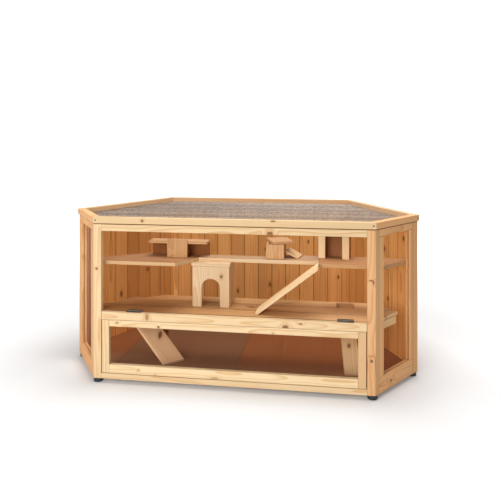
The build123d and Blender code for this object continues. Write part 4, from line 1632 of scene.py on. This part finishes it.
@dataclass
class Studio:
    """Camera, pale floor and soft light.

    Attributes:
        camera_turn: Camera heading in degrees.
        sensor: Width of the sensor in millimetres.
        lens: Focal length in millimetres.
        shift: Sensor shift across and up.
        floor_reach: Half the floor's width.
        glow_range: Distances from the object over which the floor's glow grows to full.
        least_glow: The floor's glow at the object.
        sky: Strength of the sky's light on the object.
    """

    camera_place: Point = (0.3651, -2.1983, 0.8563)
    camera_turn: float = 8.284
    sensor: float = 36.0
    lens: float = 39.58
    shift: Pair = (-0.0146, -0.2178)
    floor_reach: float = 14.0
    floor_colour: Colour = (0.82, 0.82, 0.82)
    glow_range: Pair = (0.8, 2.4)
    least_glow: float = 0.1
    sky: float = 0.27
    lamps: tuple[Lamp, ...] = (
        Lamp("key_lamp", (-0.95, -3.35, 1.15), (0.0, 0.0, 0.25), 2.0, 78.0),
        Lamp("top_lamp", (0.2, 0.1, 3.0), (0.0, 0.0, 0.2), 1.8, 80.0),
    )

    def camera(self) -> None:
        """Set up the camera at the photo's viewing angle."""
        data = bpy.data.cameras.new("camera")
        data.sensor_width = self.sensor
        data.lens = self.lens
        data.shift_x, data.shift_y = self.shift
        item = bpy.data.objects.new("camera", data)
        item.location = self.camera_place
        item.rotation_euler = (math.pi / 2, 0.0, math.radians(self.camera_turn))
        bpy.context.collection.objects.link(item)
        bpy.context.scene.camera = item

    def floor(self) -> None:
        """Lay a pale floor that keeps the shadow."""
        reach = self.floor_reach
        mesh = bpy.data.meshes.new("studio_floor")
        corners = [(-reach, -reach, 0), (reach, -reach, 0), (reach, reach, 0), (-reach, reach, 0)]
        mesh.from_pydata(corners, [], [[0, 1, 2, 3]])
        item = bpy.data.objects.new("studio_floor", mesh)
        bpy.context.collection.objects.link(item)
        material = bpy.data.materials.new("studio_floor")
        material.use_nodes = True
        material.node_tree.nodes.clear()
        sheet = NodeSheet(material.node_tree)
        matt = sheet.add("BsdfDiffuse", self.floor_colour)
        glow = sheet.add("Emission")
        away = sheet.vector("LENGTH", sheet.add("TexCoord").outputs["Object"])
        lift = sheet.ramp(away, *self.glow_range, self.least_glow, 1.0)
        sheet.wire(glow, Strength=sheet.times(self.seen(sheet), lift))
        both = sheet.add("AddShader", matt.outputs[0], glow.outputs[0])
        sheet.add("OutputMaterial", both.outputs[0])
        mesh.materials.append(material)

    def seen(self, sheet: NodeSheet) -> Socket:
        """Tell rays that show the background from rays that light the object.

        Args:
            sheet: Nodes of the floor or the sky.

        Returns:
            1 for rays that show the background.
        """
        rays = sheet.add("LightPath").outputs
        bright = sheet.math("MAXIMUM", rays["Is Camera Ray"], rays["Is Glossy Ray"])
        return sheet.math("MAXIMUM", bright, rays["Is Transmission Ray"])

    def lights(self) -> None:
        """Light the object with a pale sky and the lamps."""
        world = bpy.data.worlds.new("studio")
        bpy.context.scene.world = world
        world.use_nodes = True
        world.node_tree.nodes.clear()
        sheet = NodeSheet(world.node_tree)
        back = sheet.add("Background", (1.0, 1.0, 1.0))
        sheet.wire(back, Strength=sheet.ramp(self.seen(sheet), 0.0, 1.0, self.sky, 1.0))
        sheet.add("OutputWorld", back.outputs[0])
        for lamp in self.lamps:
            lamp.hang()

    def build(self) -> None:
        """Build the whole studio."""
        bpy.context.scene.view_settings.view_transform = "Standard"
        self.camera()
        self.floor()
        self.lights()


def main() -> None:
    """Load the frame and dress every sub-assembly in order."""
    logging.basicConfig(level=logging.INFO, format="%(name)s: %(message)s")
    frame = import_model()
    shop = Workshop(frame)
    timbers = (
        CarcassFrame(),
        BackWalls(),
        FloorDeck(),
        FloorBearers(),
        InnerFurniture(),
        LidRails(),
        FlapFrame(),
        TurnButton(),
    )
    for timber in timbers:
        timber.survey(shop)
    for part in (*timbers, LidMesh(), KeptFittings()):
        part.dress(shop)
        LOG.info("%s dressed", type(part).__name__)
    Studio().build()


if __name__ == "__main__":
    main()
